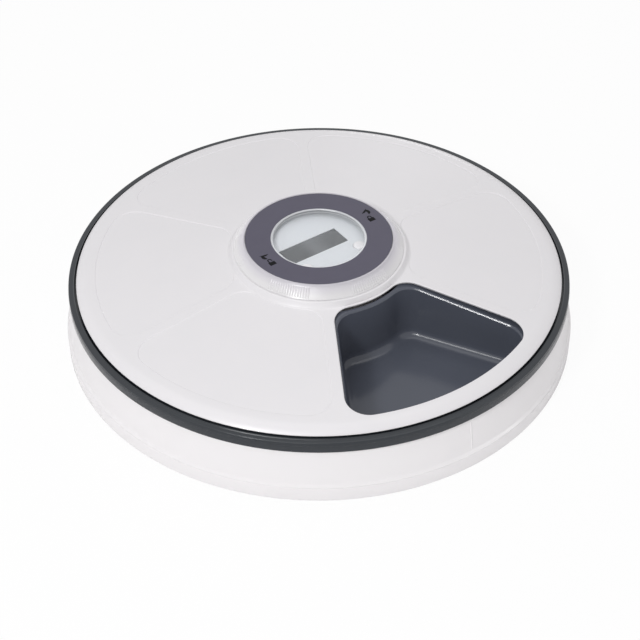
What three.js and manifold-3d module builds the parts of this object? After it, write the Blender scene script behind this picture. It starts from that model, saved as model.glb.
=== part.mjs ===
// An automatic meal tray feeder: a turning tray with six compartments under a fixed white lid
// that has one opening, a geared drive and three cells in the base's central tower, and the
// controls on top of the tower under a clear cap that locks the lid down.
// Millimetres, +Z up. The origin is on the table, under the middle of the base.
import * as THREE from 'three';
import { mergeVertices } from 'three/addons/utils/BufferGeometryUtils.js';
import Module from 'manifold-3d';

const wasm = await Module();
wasm.setup();

// Counts
const meals = 6;
const cells = 3;
const feet = 4;
const large_segments = 36;
const medium_segments = 24;
const small_segments = 12;
const fastener_segments = 6;
const stretch_steps = 2;
const long_stretch_steps = 4;
const arc_steps = 3;
const corner_steps = 3;
const inner_arc_steps = 1;
const fillet_steps = 2;
const edge_steps = 2;

// Fits that all pieces share
const seat_gap = 0.3;
const running_gap = 0.4;
const overrun = 4;
const wall_slot_room = 2.8;
const soft_edge = 0.6;

// Base: a floor with a low band, and over it a drafted wall, a deck and a tower
const overall_diameter = 325;
const base_wall = 2.2;
const foot_stand = 1.0;
const floor_thickness = 2.2;
const band_height = 9.0;
const band_round = 1.6;
const band_edge = 0.5;
const parting_gap = 0.4;
const ridge_step = 1.1;
const deck_thickness = 2.0;
const wall_draft = 3.9;
const window_clearance = 0.8;
const shoulder_thickness = 2.2;
const head_height = 7.5;
const head_wall = 2.2;
const head_ledge_width = 2.8;
const head_ledge_depth = 2.3;
const head_set_in = 7.0;

// Rubber feet
const foot_radius = 7.0;
const foot_sink = 1.1;
const foot_set_in = 22.5;
const first_foot_angle = THREE.MathUtils.degToRad(45);

// Cells, their holder and door
const cell_diameter = 26.2;
const cell_length = 50;
const cell_shift = 2.0;
const cell_nub_radius = 3.6;
const cell_nub_height = 1.5;
const cell_to_bore = 1.1;
const holder_side = 2.0;
const holder_end = 1.6;
const holder_end_room = 3.4;
const holder_roof = 2.0;
const contact_thickness = 0.5;
const contact_width = 14;
const contact_height = 16;
const spring_base_radius = 5.4;
const spring_tip_radius = 3.0;
const door_lap = 2.4;
const door_plate = 1.1;
const door_grip_radius = 9;
const door_grip_depth = 0.5;
const door_grip_to_edge = 13.5;
const door_tab_radius = 5.5;
const door_tab_floor = 1.3;
const door_tab_reach = 7.0;
const door_tab_neck = 8;
const door_boss_wall = 1.2;
const door_screw_length = 5.6;

// Drive: a motor with reduction gears, a pinion, and an internal gear ring that turns the tray
const ring_teeth = 72;
const pinion_teeth = 16;
const tower_to_teeth = 1.8;
const ring_addendum_share = 0.8;
const pinion_addendum_share = 1.0;
const dedendum_share = 1.25;
const pressure_angle = THREE.MathUtils.degToRad(20);
const backlash = 0.25;
const ring_rim = 4.1;
const ring_height = 11.3;
const ring_flange = 1.5;
const pinion_face = 8.0;
const pinion_over_flange = 0.8;
const shaft_radius = 2.5;
const shaft_boss_wall = 2.0;
const shaft_boss_height = 5.5;
const shaft_in_case = 1.8;
const dogs = 3;
const first_dog_angle = THREE.MathUtils.degToRad(-30);
const dog_height = 4.0;
const dog_width = 10;
const dog_radial = 3.0;
const dog_inset = 1.0;
const index_notch_width = 4;
const index_notch_depth = 1.0;
const case_width = 44;
const case_length = 35.5;
const case_height = 15.5;
const case_trim_gap = 0.5;
const motor_radius = 9.5;
const motor_to_shoulder = 2.5;
const motor_length = 32;
const motor_tail_radius = 4;
const motor_tail = 2;
const motor_screw_to_side = 5;
const motor_screw_to_shaft = 1;
const boss_wall = 1.7;
const switch_width = 12;
const switch_depth = 6;
const switch_height = 7;
const switch_angle = THREE.MathUtils.degToRad(128);
const plunger_width = 2.4;
const plunger_height = 1.4;

// Tray: six compartments with drafted walls, a hub web over the ring, and a rim over the wall
const tray_floor = 2.0;
const tray_over_deck = 1.6;
const tray_wall = 1.5;
const tray_outer_wall = 1.9;
const tray_outer_draft = 2.7;
const pocket_lap = 1.4;
const pocket_side_lap = 0.6;
const pocket_inner_draft = 2.8;
const pocket_outer_draft = 2.5;
const pocket_side_draft = 1.8;
const pocket_fillet = 6.0;
const web_thickness = 2.0;
const web_to_tower = 2.5;
const wall_over_ring = 1.0;
const core_slot_inset = 8;
const flange_over_wall = 2.4;
const flange_thickness = 2.0;
const rim_rise = 2.9;
const rim_width = 3.4;
const rim_round = 0.6;
const lip_gap = 0.8;
const lip_thickness = 1.3;
const lip_drop = 2.8;
const lip_flare = 1.2;

// Lid: a shallow cone that stands on the tower's shoulder, with a collar round the cap
const lid_to_rim = 1.2;
const lid_thickness = 2.0;
const lid_border_curve = 12.2;
const lid_border_width = 7.8;
const lid_edge_width = 0.45;
const lid_over_flange = 0.5;
const lid_over_tray = 0.6;
const lid_border_over_flange = 7.4;
const lid_border = 10.1;
const lid_inner_lap = 1.85;
const cone_rise = 8.7;
const collar_height = 3.4;
const collar_to_opening = 0.8;
const collar_slope = 2.0;
const collar_chamfer = 0.3;
const hub_wall = 2.0;
const sector_set_in = 3.4;
const outer_corner = 14;
const inner_corner = 13;
const panel_depth = 0.45;
const panel_set_in = 2.3;
const key_width = 8;
const key_drop = 1.2;
const hub_to_sleeve = 0.6;

// Clear cap, its bayonet and its printed ring
const cap_gap_to_collar = 0.3;
const cap_skirt_lap = 5.1;
const cap_height = 6.8;
const cap_slope = 5.7;
const cap_wall = 2.0;
const cap_top_edge = 0.5;
const cap_plate = 2.5;
const sleeve_wall = 2.0;
const sleeve_to_head = 2.0;
const bayonet_lugs = 3;
const head_lug_radial = 1.6;
const head_lug_height = 2.0;
const head_lug_rise = 3.0;
const lug_width = 16;
const cap_lug_height = 1.5;
const sleeve_over_shoulder = 0.8;
const lock_turn = THREE.MathUtils.degToRad(35);
const label_border = 1.2;
const label_width = 16.5;
const label_thickness = 0.3;
const label_gap = 0.2;
const window_step = 0.6;
const window_chamfer = 0.9;
const rib_count = 5;
const rib_width = 0.9;
const rib_height = 0.35;
const rib_pitch = 5.2;
const rib_slope_shares = [0.12, 0.86];

// Controls on the tower's head
const panel_thickness = 2.0;
const lens_length = 42;
const lens_width = 15;
const lens_shift = 4;
const lens_thickness = 1.7;
const lcd_border = 2.2;
const lcd_thickness = 3.6;
const board_to_ledge = 1.0;
const board_thickness = 1.6;
const board_drop = 4.4;
const post_radius = 2.6;
const post_to_board_edge = 4.5;
const post_angles = [20, 160, 270].map(THREE.MathUtils.degToRad);
const button_radius = 4.0;
const button_stand = 0.8;
const button_dome = 0.4;
const button_flange = 1.0;
const button_flange_height = 1.3;
const button_travel = 0.8;
const button_over_dome = 0.1;
const button_places = [[20, -16], [-20, -16], [7.5, -28.5], [-7.5, -28.5]];
const mat_thickness = 0.6;
const mat_border = 2.0;
const mat_dome_radius = 3.2;

// Self-tapping screws
const screw_radius = 1.4;
const screw_head_radius = 2.8;
const screw_head_height = 1.8;
const screw_slot = 0.8;
const screw_slot_depth = 0.7;
const screw_boss_wall = 2.2;
const screw_bite = 4.2;
const screw_pad_height = 1.8;
const cover_screws = 6;
const cover_screw_set_in = 50.5;
const board_screw_length = 4.6;
const motor_screw_bite = 2.4;

// Levels above the table: the floor, the cells, the motor over them and the shoulder over that
const floor_bottom = foot_stand;
const floor_top = floor_bottom + floor_thickness;
const band_top = floor_bottom + band_height;
const deck_bottom = band_top + parting_gap;
const deck_top = deck_bottom + deck_thickness;
const ring_bottom = deck_top + seat_gap;
const ring_top = ring_bottom + ring_height;
const teeth_bottom = ring_bottom + ring_flange;
const pinion_bottom = teeth_bottom + pinion_over_flange;
const cell_bottom = floor_top + seat_gap;
const cell_level = cell_bottom + cell_diameter / 2;
const holder_top = cell_bottom + cell_diameter + seat_gap + holder_roof;
const case_bottom = holder_top + seat_gap;
const case_top = case_bottom + case_height;
const motor_level = case_bottom + running_gap + motor_radius;
const shoulder_level = motor_level + motor_radius + motor_to_shoulder;

// Levels of the lid on the shoulder, and from its edge down to the tray and the wall
const hub_bottom = shoulder_level + seat_gap;
const cone_inner_level = hub_bottom + lid_thickness;
const cone_outer_level = cone_inner_level - cone_rise;
const collar_top = cone_inner_level + collar_height;
const flange_top = cone_outer_level - lid_border_over_flange;
const flange_bottom = flange_top - flange_thickness;
const wall_top = flange_bottom - flange_over_wall;
const rim_top = flange_top + rim_rise;
const lid_edge_bottom = flange_top + lid_over_flange;
const tray_bottom = deck_top + tray_over_deck;
const pocket_floor = tray_bottom + tray_floor;
const web_bottom = ring_top + seat_gap;
const tray_under_cone = lid_thickness + lid_over_tray;

// Radii, from the cells in the tower outwards
const cell_row_half = cells * cell_diameter / 2;
const cell_reach = cell_length / 2 + cell_shift;
const tower_bore = Math.hypot(cell_row_half, cell_reach) + cell_to_bore;
const tower_radius = tower_bore + base_wall;
const ring_tip_radius = tower_radius + tower_to_teeth;
const gear_module = 2 * ring_tip_radius / (ring_teeth - 2 * ring_addendum_share);
const ring_pitch_radius = gear_module * ring_teeth / 2;
const ring_root_radius = ring_pitch_radius + dedendum_share * gear_module;
const ring_radius = ring_root_radius + ring_rim;
const pinion_pitch_radius = gear_module * pinion_teeth / 2;
const pinion_tip_radius = pinion_pitch_radius + pinion_addendum_share * gear_module;
const pinion_place = ring_pitch_radius - pinion_pitch_radius;
const head_radius = tower_radius - head_set_in;

// Radii, from the outer edge inwards
const base_radius = overall_diameter / 2;
const wall_foot_radius = base_radius - ridge_step;
const wall_top_radius = wall_foot_radius - wall_draft;
const lip_bore = wall_top_radius + lip_gap;
const lip_radius = lip_bore + lip_thickness;
const rim_radius = lip_radius - lip_flare;
const rim_bore = rim_radius - rim_width;
const lid_radius = rim_bore - lid_to_rim;
const opening_outer = lid_radius - lid_border;

// The tray's walls stand clear of the ring at its foot and lean in over it higher up
const wall_foot_inner = ring_radius + wall_over_ring;
const wall_head_inner = wall_foot_inner - pocket_inner_draft;
const pocket_inner_top = wall_head_inner + tray_wall;
const opening_inner = pocket_inner_top - lid_inner_lap;
const pocket_outer_top = opening_outer + pocket_lap;

// The lid's cone, from its curved border to the foot of the collar, and the hub in it
const cone_outer_radius = lid_radius - lid_border_width;
const cone_inner_radius = opening_inner - collar_to_opening;
const cone_slope = cone_rise / (cone_outer_radius - cone_inner_radius);
const sleeve_bore = head_radius + sleeve_to_head;
const sleeve_radius = sleeve_bore + sleeve_wall;
const hub_bore = sleeve_radius + hub_to_sleeve;
const key_angles = [0, Math.PI];

// The head: its levels from the panel down, the board in it and the cap over it
const panel_top = shoulder_level + head_height;
const panel_bottom = panel_top - panel_thickness;
const board_top = panel_bottom - board_drop;
const board_bottom = board_top - board_thickness;
const head_bore = head_radius - head_wall;
const board_radius = head_bore - head_ledge_width - board_to_ledge;
const post_place_radius = board_radius - post_to_board_edge;
const cap_bottom = collar_top + cap_gap_to_collar;
const cap_top = cap_bottom + cap_height;

function coneLevel(radius, below) {
  return cone_outer_level + (cone_outer_radius - radius) * cone_slope - below;
}

// A closed geometry becomes a solid once its shared corners are one corner.
function solidOf(geometry) {
  const bare = geometry.clone();
  bare.deleteAttribute('normal');
  bare.deleteAttribute('uv');
  const merged = mergeVertices(bare);
  const corners = merged.index.array;
  const kept = [];
  for (let i = 0; i < corners.length; i += 3) {
    const [a, b, c] = [corners[i], corners[i + 1], corners[i + 2]];
    if (a !== b && b !== c && c !== a) kept.push(a, b, c);
  }
  return new wasm.Manifold(new wasm.Mesh({
    numProp: 3,
    vertProperties: new Float32Array(merged.attributes.position.array),
    triVerts: new Uint32Array(kept),
  }));
}

function geometryOf(solid) {
  const mesh = solid.getMesh();
  const geometry = new THREE.BufferGeometry();
  geometry.setAttribute('position', new THREE.BufferAttribute(mesh.vertProperties, 3));
  geometry.setIndex(new THREE.BufferAttribute(mesh.triVerts, 1));
  geometry.computeVertexNormals();
  return geometry;
}

function joined(solids) {
  return solids.reduce((whole, next) => whole.add(next));
}

// An outline in radius and height, turned round the Z axis.
function turned(outline, segments) {
  const corners = outline.map(([radius, level]) => new THREE.Vector2(radius, level));
  const upright = THREE.ShapeUtils.area(corners) > 0 ? corners : corners.reverse();
  const geometry = new THREE.LatheGeometry([...upright, upright[0]], segments);
  return solidOf(geometry.rotateX(Math.PI / 2));
}

function extruded(outline, bottom, top) {
  const shape = new THREE.Shape(outline.map(([x, y]) => new THREE.Vector2(x, y)));
  const geometry = new THREE.ExtrudeGeometry(shape, { depth: top - bottom, bevelEnabled: false });
  return solidOf(geometry.translate(0, 0, bottom));
}

function block(x_low, x_high, y_low, y_high, z_low, z_high) {
  const geometry = new THREE.BoxGeometry(x_high - x_low, y_high - y_low, z_high - z_low);
  geometry.translate((x_low + x_high) / 2, (y_low + y_high) / 2, (z_low + z_high) / 2);
  return solidOf(geometry);
}

function rod(radius, bottom, top, x = 0, y = 0, segments = fastener_segments) {
  const geometry = new THREE.CylinderGeometry(radius, radius, top - bottom, segments);
  geometry.rotateX(Math.PI / 2);
  return solidOf(geometry.translate(x, y, (bottom + top) / 2));
}

// Points on an arc. The first one is left out where the arc goes on from another.
function arcPoints(x, y, radius, from, to, steps, first = 1) {
  const points = [];
  for (let i = first; i <= steps; i += 1) {
    const angle = from + (to - from) * i / steps;
    points.push([x + radius * Math.cos(angle), y + radius * Math.sin(angle)]);
  }
  return points;
}

// A stretch of a ring, centred on an angle and as wide as it measures at its outer radius.
function ringStretch(bore, radius, bottom, top, angle, width, steps = stretch_steps) {
  const half = width / radius / 2;
  const outline = [
    ...arcPoints(0, 0, radius, angle - half, angle + half, steps, 0),
    ...arcPoints(0, 0, bore, angle + half, angle - half, steps, 0),
  ];
  return extruded(outline, bottom, top);
}

// The form that the opening, the panels and the compartments share: a sector with round
// corners whose straight sides lie beside the lines that part one meal from the next.
function mealOutline(inner, outer, set_in, inner_round, outer_round) {
  const half = Math.PI / meals;
  const outer_turn = half - Math.asin((set_in + outer_round) / (outer - outer_round));
  const inner_turn = half - Math.asin((set_in + inner_round) / (inner + inner_round));
  const outer_reach = outer - outer_round;
  const inner_reach = inner + inner_round;
  const square = half + Math.PI / 2;
  const upper = [
    ...arcPoints(0, 0, outer, 0, outer_turn, arc_steps, 0),
    ...arcPoints(outer_reach * Math.cos(outer_turn), outer_reach * Math.sin(outer_turn),
      outer_round, outer_turn, square, corner_steps),
    ...arcPoints(inner_reach * Math.cos(inner_turn), inner_reach * Math.sin(inner_turn),
      inner_round, square, inner_turn + Math.PI, corner_steps, 0),
    ...arcPoints(0, 0, inner, inner_turn, 0, inner_arc_steps),
  ];
  const lower = upper.slice(1, -1).reverse().map(([x, y]) => [x, -y]);
  return [...upper, ...lower];
}

// A solid whose outline changes from level to level, with as many points on each level.
function loft(levels) {
  const count = levels[0].outline.length;
  const positions = levels.flatMap(({ z, outline }) => outline.flatMap(([x, y]) => [x, y, z]));
  const faces = [];
  for (let level = 0; level + 1 < levels.length; level += 1) {
    for (let i = 0; i < count; i += 1) {
      const a = level * count + i;
      const b = level * count + (i + 1) % count;
      faces.push(a, b, b + count, a, b + count, a + count);
    }
  }
  const flat = (outline) => outline.map(([x, y]) => new THREE.Vector2(x, y));
  const last = (levels.length - 1) * count;
  for (const [a, b, c] of THREE.ShapeUtils.triangulateShape(flat(levels[0].outline), [])) {
    faces.push(a, c, b);
  }
  for (const [a, b, c] of THREE.ShapeUtils.triangulateShape(flat(levels.at(-1).outline), [])) {
    faces.push(last + a, last + b, last + c);
  }
  const geometry = new THREE.BufferGeometry();
  geometry.setAttribute('position', new THREE.Float32BufferAttribute(positions, 3));
  geometry.setIndex(faces);
  return solidOf(geometry);
}

function aboutZ(solid, radians) {
  return solid.rotate([0, 0, THREE.MathUtils.radToDeg(radians)]);
}

// The serving place faces -Y, and the other meals follow round from it.
function mealAngle(index) {
  return -Math.PI / 2 + index * 2 * Math.PI / meals;
}

// Angle between an involute's start and its point at a radius.
function involute(base, radius) {
  const angle = Math.acos(Math.min(1, base / radius));
  return Math.tan(angle) - angle;
}

// Half the angle that a tooth, or the space of an internal gear, fills at a radius.
function toothHalfAngle(pitch_radius, width, radius) {
  const base = pitch_radius * Math.cos(pressure_angle);
  const at_pitch = width / pitch_radius / 2;
  return at_pitch + involute(base, pitch_radius) - involute(base, Math.max(base, radius));
}

function gearOutline(teeth, pitch_radius, width, radii) {
  const outline = [];
  for (let tooth = 0; tooth < teeth; tooth += 1) {
    const middle = tooth * 2 * Math.PI / teeth;
    const rising = radii.map((radius) => [radius, -toothHalfAngle(pitch_radius, width, radius)]);
    const falling = rising.map(([radius, angle]) => [radius, -angle]).reverse();
    for (const [radius, angle] of [...rising, ...falling]) {
      outline.push([radius * Math.cos(middle + angle), radius * Math.sin(middle + angle)]);
    }
  }
  return outline;
}

// Finishes: colour, roughness and metalness
function finish(color, roughness, metalness = 0) {
  return new THREE.MeshStandardMaterial({ color, roughness, metalness });
}

const finishes = {
  white_gloss: () => finish(0xe6e4e6, 0.25),
  tray_plastic: () => finish(0x484b50, 0.35),
  clear_plastic: () => finish(0xdfe6e8, 0.08),
  label_print: () => finish(0x5d5a6a, 0.5),
  panel_plastic: () => finish(0xd6dce0, 0.4),
  display: () => finish(0x6e7676, 0.15),
  white_plastic: () => finish(0xededee, 0.35),
  black_rubber: () => finish(0x1c1c1e, 0.85),
  inner_plastic: () => finish(0x2a2b2e, 0.55),
  gear_plastic: () => finish(0xe8e4d4, 0.45),
  board_green: () => finish(0x1f5a36, 0.5),
  cell_jacket: () => finish(0x3a5f8a, 0.35),
  steel: () => finish(0xb9bcc0, 0.3, 1),
};

const feeder = new THREE.Group();

function addPiece(name, solid, finish_name, parent = feeder) {
  const mesh = new THREE.Mesh(geometryOf(solid), finishes[finish_name]());
  mesh.name = name;
  parent.add(mesh);
  return mesh;
}

// A screw with its head down and its tip up, from the underside of its head.
function screwSolid(length) {
  const head = rod(screw_head_radius, -screw_head_height, 0);
  const shank = rod(screw_radius, -screw_head_height / 2, length);
  const slot = block(-screw_head_radius - overrun, screw_head_radius + overrun,
    -screw_slot / 2, screw_slot / 2, -screw_head_height - overrun,
    screw_slot_depth - screw_head_height);
  return head.add(shank).subtract(slot);
}

// Places round a circle, the first at an angle
function placesRound(count, radius, first) {
  return Array.from({ length: count }, (_, i) => {
    const angle = first + i * 2 * Math.PI / count;
    return [radius * Math.cos(angle), radius * Math.sin(angle)];
  });
}

const foot_places = placesRound(feet, base_radius - foot_set_in, first_foot_angle);
const cover_screw_places = placesRound(cover_screws, base_radius - cover_screw_set_in, 0);
const motor_screw_places = [1, -1].map((side) => [
  side * (case_width / 2 - motor_screw_to_side), pinion_place - motor_screw_to_shaft]);
const screw_hole = screw_radius + seat_gap;
const screw_head_hole = screw_head_radius + running_gap;
const screw_boss_radius = screw_hole + screw_boss_wall;

// The door's plate lies in a rebate of the floor, and its pad fills the hole over the plate.
const hole_x = cell_row_half + seat_gap;
const hole_y_low = -cell_reach - holder_end_room;
const hole_y_high = cell_reach - 2 * cell_shift + holder_end_room;
const tab_y = hole_y_low - holder_end - door_tab_reach - seat_gap;
const tab_hole_radius = door_tab_radius + seat_gap;
const tab_top = floor_bottom + screw_head_height + running_gap + door_tab_floor;
const tab_boss_top = tab_top + door_screw_length;

function makeBottomCover() {
  const bowl = turned([
    [0, floor_bottom],
    ...arcPoints(base_radius - band_round, floor_bottom + band_round, band_round,
      -Math.PI / 2, 0, edge_steps, 0),
    [base_radius, band_top - band_edge],
    [base_radius - band_edge, band_top],
    [base_radius - base_wall, band_top],
    [base_radius - base_wall, floor_top],
    [0, floor_top],
  ], large_segments);
  const shaft_boss = rod(shaft_radius + seat_gap + shaft_boss_wall, floor_bottom + floor_thickness / 2,
    floor_top + shaft_boss_height, 0, pinion_place, small_segments);
  const pads = cover_screw_places.map(([x, y]) => rod(screw_boss_radius + seat_gap,
    floor_bottom + floor_thickness / 2, floor_top + screw_pad_height, x, y));
  const tab_boss = rod(tab_hole_radius + door_boss_wall, floor_bottom + floor_thickness / 2,
    tab_boss_top, 0, tab_y, small_segments);
  const rebate_top = floor_bottom + door_plate + seat_gap;
  const neck_x = door_tab_neck / 2 + seat_gap;
  const cuts = [
    block(-hole_x, hole_x, hole_y_low, hole_y_high, floor_bottom - overrun, floor_top + overrun),
    block(-hole_x - door_lap, hole_x + door_lap, hole_y_low - door_lap, hole_y_high + door_lap,
      floor_bottom - overrun, rebate_top),
    block(-neck_x, neck_x, tab_y, hole_y_low, floor_bottom - overrun, rebate_top),
    rod(tab_hole_radius, floor_bottom - overrun, tab_top + seat_gap, 0, tab_y, small_segments),
    rod(screw_hole, floor_bottom, tab_boss_top - door_tab_floor, 0, tab_y),
    rod(shaft_radius + seat_gap, floor_top, deck_top + overrun, 0, pinion_place, small_segments),
    ...foot_places.map(([x, y]) => rod(foot_radius + seat_gap, floor_bottom - overrun,
      floor_bottom + foot_sink + seat_gap, x, y, small_segments)),
    ...cover_screw_places.flatMap(([x, y]) => [
      rod(screw_head_hole, floor_bottom - overrun, floor_bottom + screw_head_height + running_gap, x, y),
      rod(screw_hole, floor_bottom - overrun, deck_top, x, y)]),
  ];
  return joined([bowl, shaft_boss, tab_boss, ...pads]).subtract(joined(cuts));
}

// The door is held by hooks on one side and a screw on the other, so it stays on in use.
function makeBatteryDoor() {
  const plate_x = hole_x + door_lap - seat_gap;
  const plate = block(-plate_x, plate_x, hole_y_low - door_lap + seat_gap,
    hole_y_high + door_lap - seat_gap, floor_bottom, floor_bottom + door_plate);
  const pad = block(-hole_x + seat_gap, hole_x - seat_gap, hole_y_low + seat_gap,
    hole_y_high - seat_gap, floor_bottom + door_plate / 2, floor_top);
  const grip_y = hole_y_low + door_grip_to_edge;
  const grip = rod(door_grip_radius, floor_bottom - overrun, floor_bottom + door_grip_depth, 0, grip_y,
    small_segments);
  const neck = block(-door_tab_neck / 2, door_tab_neck / 2, tab_y, hole_y_low, floor_bottom,
    floor_bottom + door_plate);
  const tab = rod(door_tab_radius, floor_bottom, tab_top, 0, tab_y, small_segments);
  const head_room = rod(screw_head_hole, floor_bottom - overrun, tab_top - door_tab_floor, 0, tab_y);
  const hole = rod(screw_hole, floor_bottom - overrun, tab_top + overrun, 0, tab_y);
  return joined([plate, pad, neck, tab]).subtract(joined([grip, head_room, hole]));
}

function makeBaseShell() {
  const wall_lean = wall_draft / (wall_top - deck_bottom) * deck_thickness;
  const body = turned([
    [wall_foot_radius, deck_bottom],
    [wall_top_radius, wall_top],
    [wall_top_radius - base_wall, wall_top],
    [wall_foot_radius - base_wall - wall_lean, deck_top],
    [tower_radius, deck_top],
    [tower_radius, shoulder_level],
    [head_radius, shoulder_level],
    [head_radius, shoulder_level + head_height],
    [head_bore, shoulder_level + head_height],
    [head_bore, shoulder_level + head_height - head_ledge_depth],
    [head_bore - head_ledge_width, shoulder_level + head_height - head_ledge_depth],
    [head_bore - head_ledge_width, shoulder_level - shoulder_thickness],
    [tower_bore, shoulder_level - shoulder_thickness],
    [tower_bore, deck_bottom],
  ], large_segments);
  const screw_bosses = cover_screw_places.map(([x, y]) => rod(screw_boss_radius,
    floor_top + screw_pad_height + seat_gap, deck_bottom + deck_thickness / 2, x, y));
  const motor_bosses = motor_screw_places.map(([x, y]) => rod(screw_hole + boss_wall,
    case_top + seat_gap, shoulder_level - shoulder_thickness / 2, x, y));
  const lugs = Array.from({ length: bayonet_lugs }, (_, i) => ringStretch(head_radius - head_wall / 2,
    head_radius + head_lug_radial, shoulder_level + head_lug_rise,
    shoulder_level + head_lug_rise + head_lug_height,
    Math.PI / 2 + i * 2 * Math.PI / bayonet_lugs, lug_width));
  const window_half = Math.acos((tower_bore ** 2 + pinion_place ** 2 - pinion_tip_radius ** 2)
    / (2 * tower_bore * pinion_place)) + window_clearance / tower_bore;
  const window_width = 2 * window_half * (tower_radius + overrun);
  const cuts = [
    ringStretch(tower_bore - overrun, tower_radius + overrun, pinion_bottom - pinion_over_flange,
      pinion_bottom + pinion_face + running_gap, Math.PI / 2, window_width, long_stretch_steps),
    ringStretch(tower_bore - overrun, tower_radius + overrun, deck_top,
      teeth_bottom + seat_gap, switch_angle, plunger_width + wall_slot_room),
    ...key_angles.map((angle) => ringStretch(hub_bore - running_gap, tower_radius + overrun,
      shoulder_level - key_drop, shoulder_level + overrun, angle, key_width + wall_slot_room)),
    ...cover_screw_places.map(([x, y]) => rod(screw_hole, floor_top, deck_bottom - running_gap, x, y)),
    ...motor_screw_places.map(([x, y]) => rod(screw_hole, case_top - overrun,
      case_top + seat_gap + motor_screw_bite + seat_gap, x, y)),
  ];
  return joined([body, ...screw_bosses, ...motor_bosses, ...lugs]).subtract(joined(cuts));
}

function makeFoot() {
  return turned([
    [0, 0],
    [foot_radius - soft_edge, 0],
    [foot_radius, soft_edge],
    [foot_radius, foot_stand + foot_sink],
    [0, foot_stand + foot_sink],
  ], small_segments);
}

// A cell lies along Y, its nub towards +Y.
function makeCell() {
  const half = cell_length / 2;
  const geometry = new THREE.LatheGeometry([
    [0, -half],
    [cell_diameter / 2 - soft_edge, -half],
    [cell_diameter / 2, -half + soft_edge],
    [cell_diameter / 2, half - cell_nub_height - soft_edge],
    [cell_diameter / 2 - soft_edge, half - cell_nub_height],
    [cell_nub_radius, half - cell_nub_height],
    [cell_nub_radius, half],
    [0, half],
  ].map(([radius, along]) => new THREE.Vector2(radius, along)), small_segments);
  return solidOf(geometry);
}

const cell_places = Array.from({ length: cells },
  (_, i) => [(i - (cells - 1) / 2) * cell_diameter, -cell_shift]);

// The holder is a roof over the cells with a hollow for each, open towards the door.
function makeBatteryHolder() {
  const outer_x = cell_row_half + seat_gap + holder_side;
  const whole = block(-outer_x, outer_x, hole_y_low - holder_end, hole_y_high + holder_end,
    cell_bottom, holder_top);
  const trough_radius = cell_diameter / 2 + seat_gap;
  const troughs = cell_places.map(([x]) => {
    const round = new THREE.CylinderGeometry(trough_radius, trough_radius, hole_y_high - hole_y_low,
      small_segments);
    return solidOf(round.translate(x, (hole_y_low + hole_y_high) / 2, cell_level));
  });
  const below = block(-cell_row_half - seat_gap, cell_row_half + seat_gap, hole_y_low, hole_y_high,
    cell_bottom - overrun, cell_level);
  const room = rod(tower_bore - case_trim_gap, cell_bottom - overrun, holder_top + overrun, 0, 0,
    medium_segments);
  return whole.subtract(joined([...troughs, below])).intersect(room);
}

// A strip that joins one end of the three cells, with a raised contact for each.
function makeContacts(wall_y, cell_end_y) {
  const away = Math.sign(cell_end_y - wall_y);
  const near = wall_y + away * seat_gap;
  const far = near + away * contact_thickness;
  const tip = cell_end_y - away * seat_gap;
  const reach = (cells - 1) / 2 * cell_diameter + contact_width / 2;
  const strip = block(-reach, reach, Math.min(near, far), Math.max(near, far),
    cell_level - contact_height / 2, cell_level);
  const start = (near + far) / 2;
  const cones = cell_places.map(([x]) => {
    const [low_radius, high_radius] = away > 0
      ? [spring_base_radius, spring_tip_radius]
      : [spring_tip_radius, spring_base_radius];
    const cone = new THREE.CylinderGeometry(high_radius, low_radius, Math.abs(tip - start),
      small_segments);
    return solidOf(cone.translate(x, (tip + start) / 2, cell_level));
  });
  return joined([strip, ...cones]);
}

const case_reach = tower_bore - case_trim_gap;
const case_front = case_reach - case_length;

function makeGearmotorCase() {
  const room = rod(case_reach, case_bottom - overrun, case_top + overrun, 0, 0, medium_segments);
  const body = block(-case_width / 2, case_width / 2, case_front, case_reach, case_bottom, case_top);
  const cuts = [
    rod(shaft_radius + seat_gap, case_bottom - overrun, case_bottom + shaft_in_case + seat_gap, 0,
      pinion_place, small_segments),
    ...motor_screw_places.map(([x, y]) => rod(screw_hole, case_bottom - overrun, case_top + overrun,
      x, y)),
  ];
  return body.intersect(room).subtract(joined(cuts));
}

// The motor lies in front of its gear case, its tail away from it.
function makeMotorCan() {
  const back = case_front - seat_gap;
  const profile = [
    [0, -motor_length - motor_tail],
    [motor_tail_radius, -motor_length - motor_tail],
    [motor_tail_radius, -motor_length],
    [motor_radius - soft_edge, -motor_length],
    [motor_radius, -motor_length + soft_edge],
    [motor_radius, 0],
    [0, 0],
  ].map(([radius, along]) => new THREE.Vector2(radius, along));
  const geometry = new THREE.LatheGeometry(profile, small_segments);
  return solidOf(geometry.translate(0, back, motor_level));
}

const tooth_width = Math.PI * gear_module / 2;

function makeDrivePinion() {
  const root = pinion_pitch_radius - dedendum_share * gear_module;
  const base = pinion_pitch_radius * Math.cos(pressure_angle);
  const radii = [root, base, pinion_tip_radius];
  const outline = gearOutline(pinion_teeth, pinion_pitch_radius, tooth_width - backlash / 2, radii);
  const gear = extruded(outline, pinion_bottom, pinion_bottom + pinion_face);
  const shaft = rod(shaft_radius, floor_top + seat_gap, case_bottom + shaft_in_case, 0, 0,
    small_segments);
  return gear.add(shaft);
}

const dog_angles = Array.from({ length: dogs }, (_, i) => first_dog_angle + i * 2 * Math.PI / dogs);
const dog_radius = ring_radius - dog_inset;
const dog_bore = dog_radius - dog_radial;
const ring_bore = tower_radius + running_gap;

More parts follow.
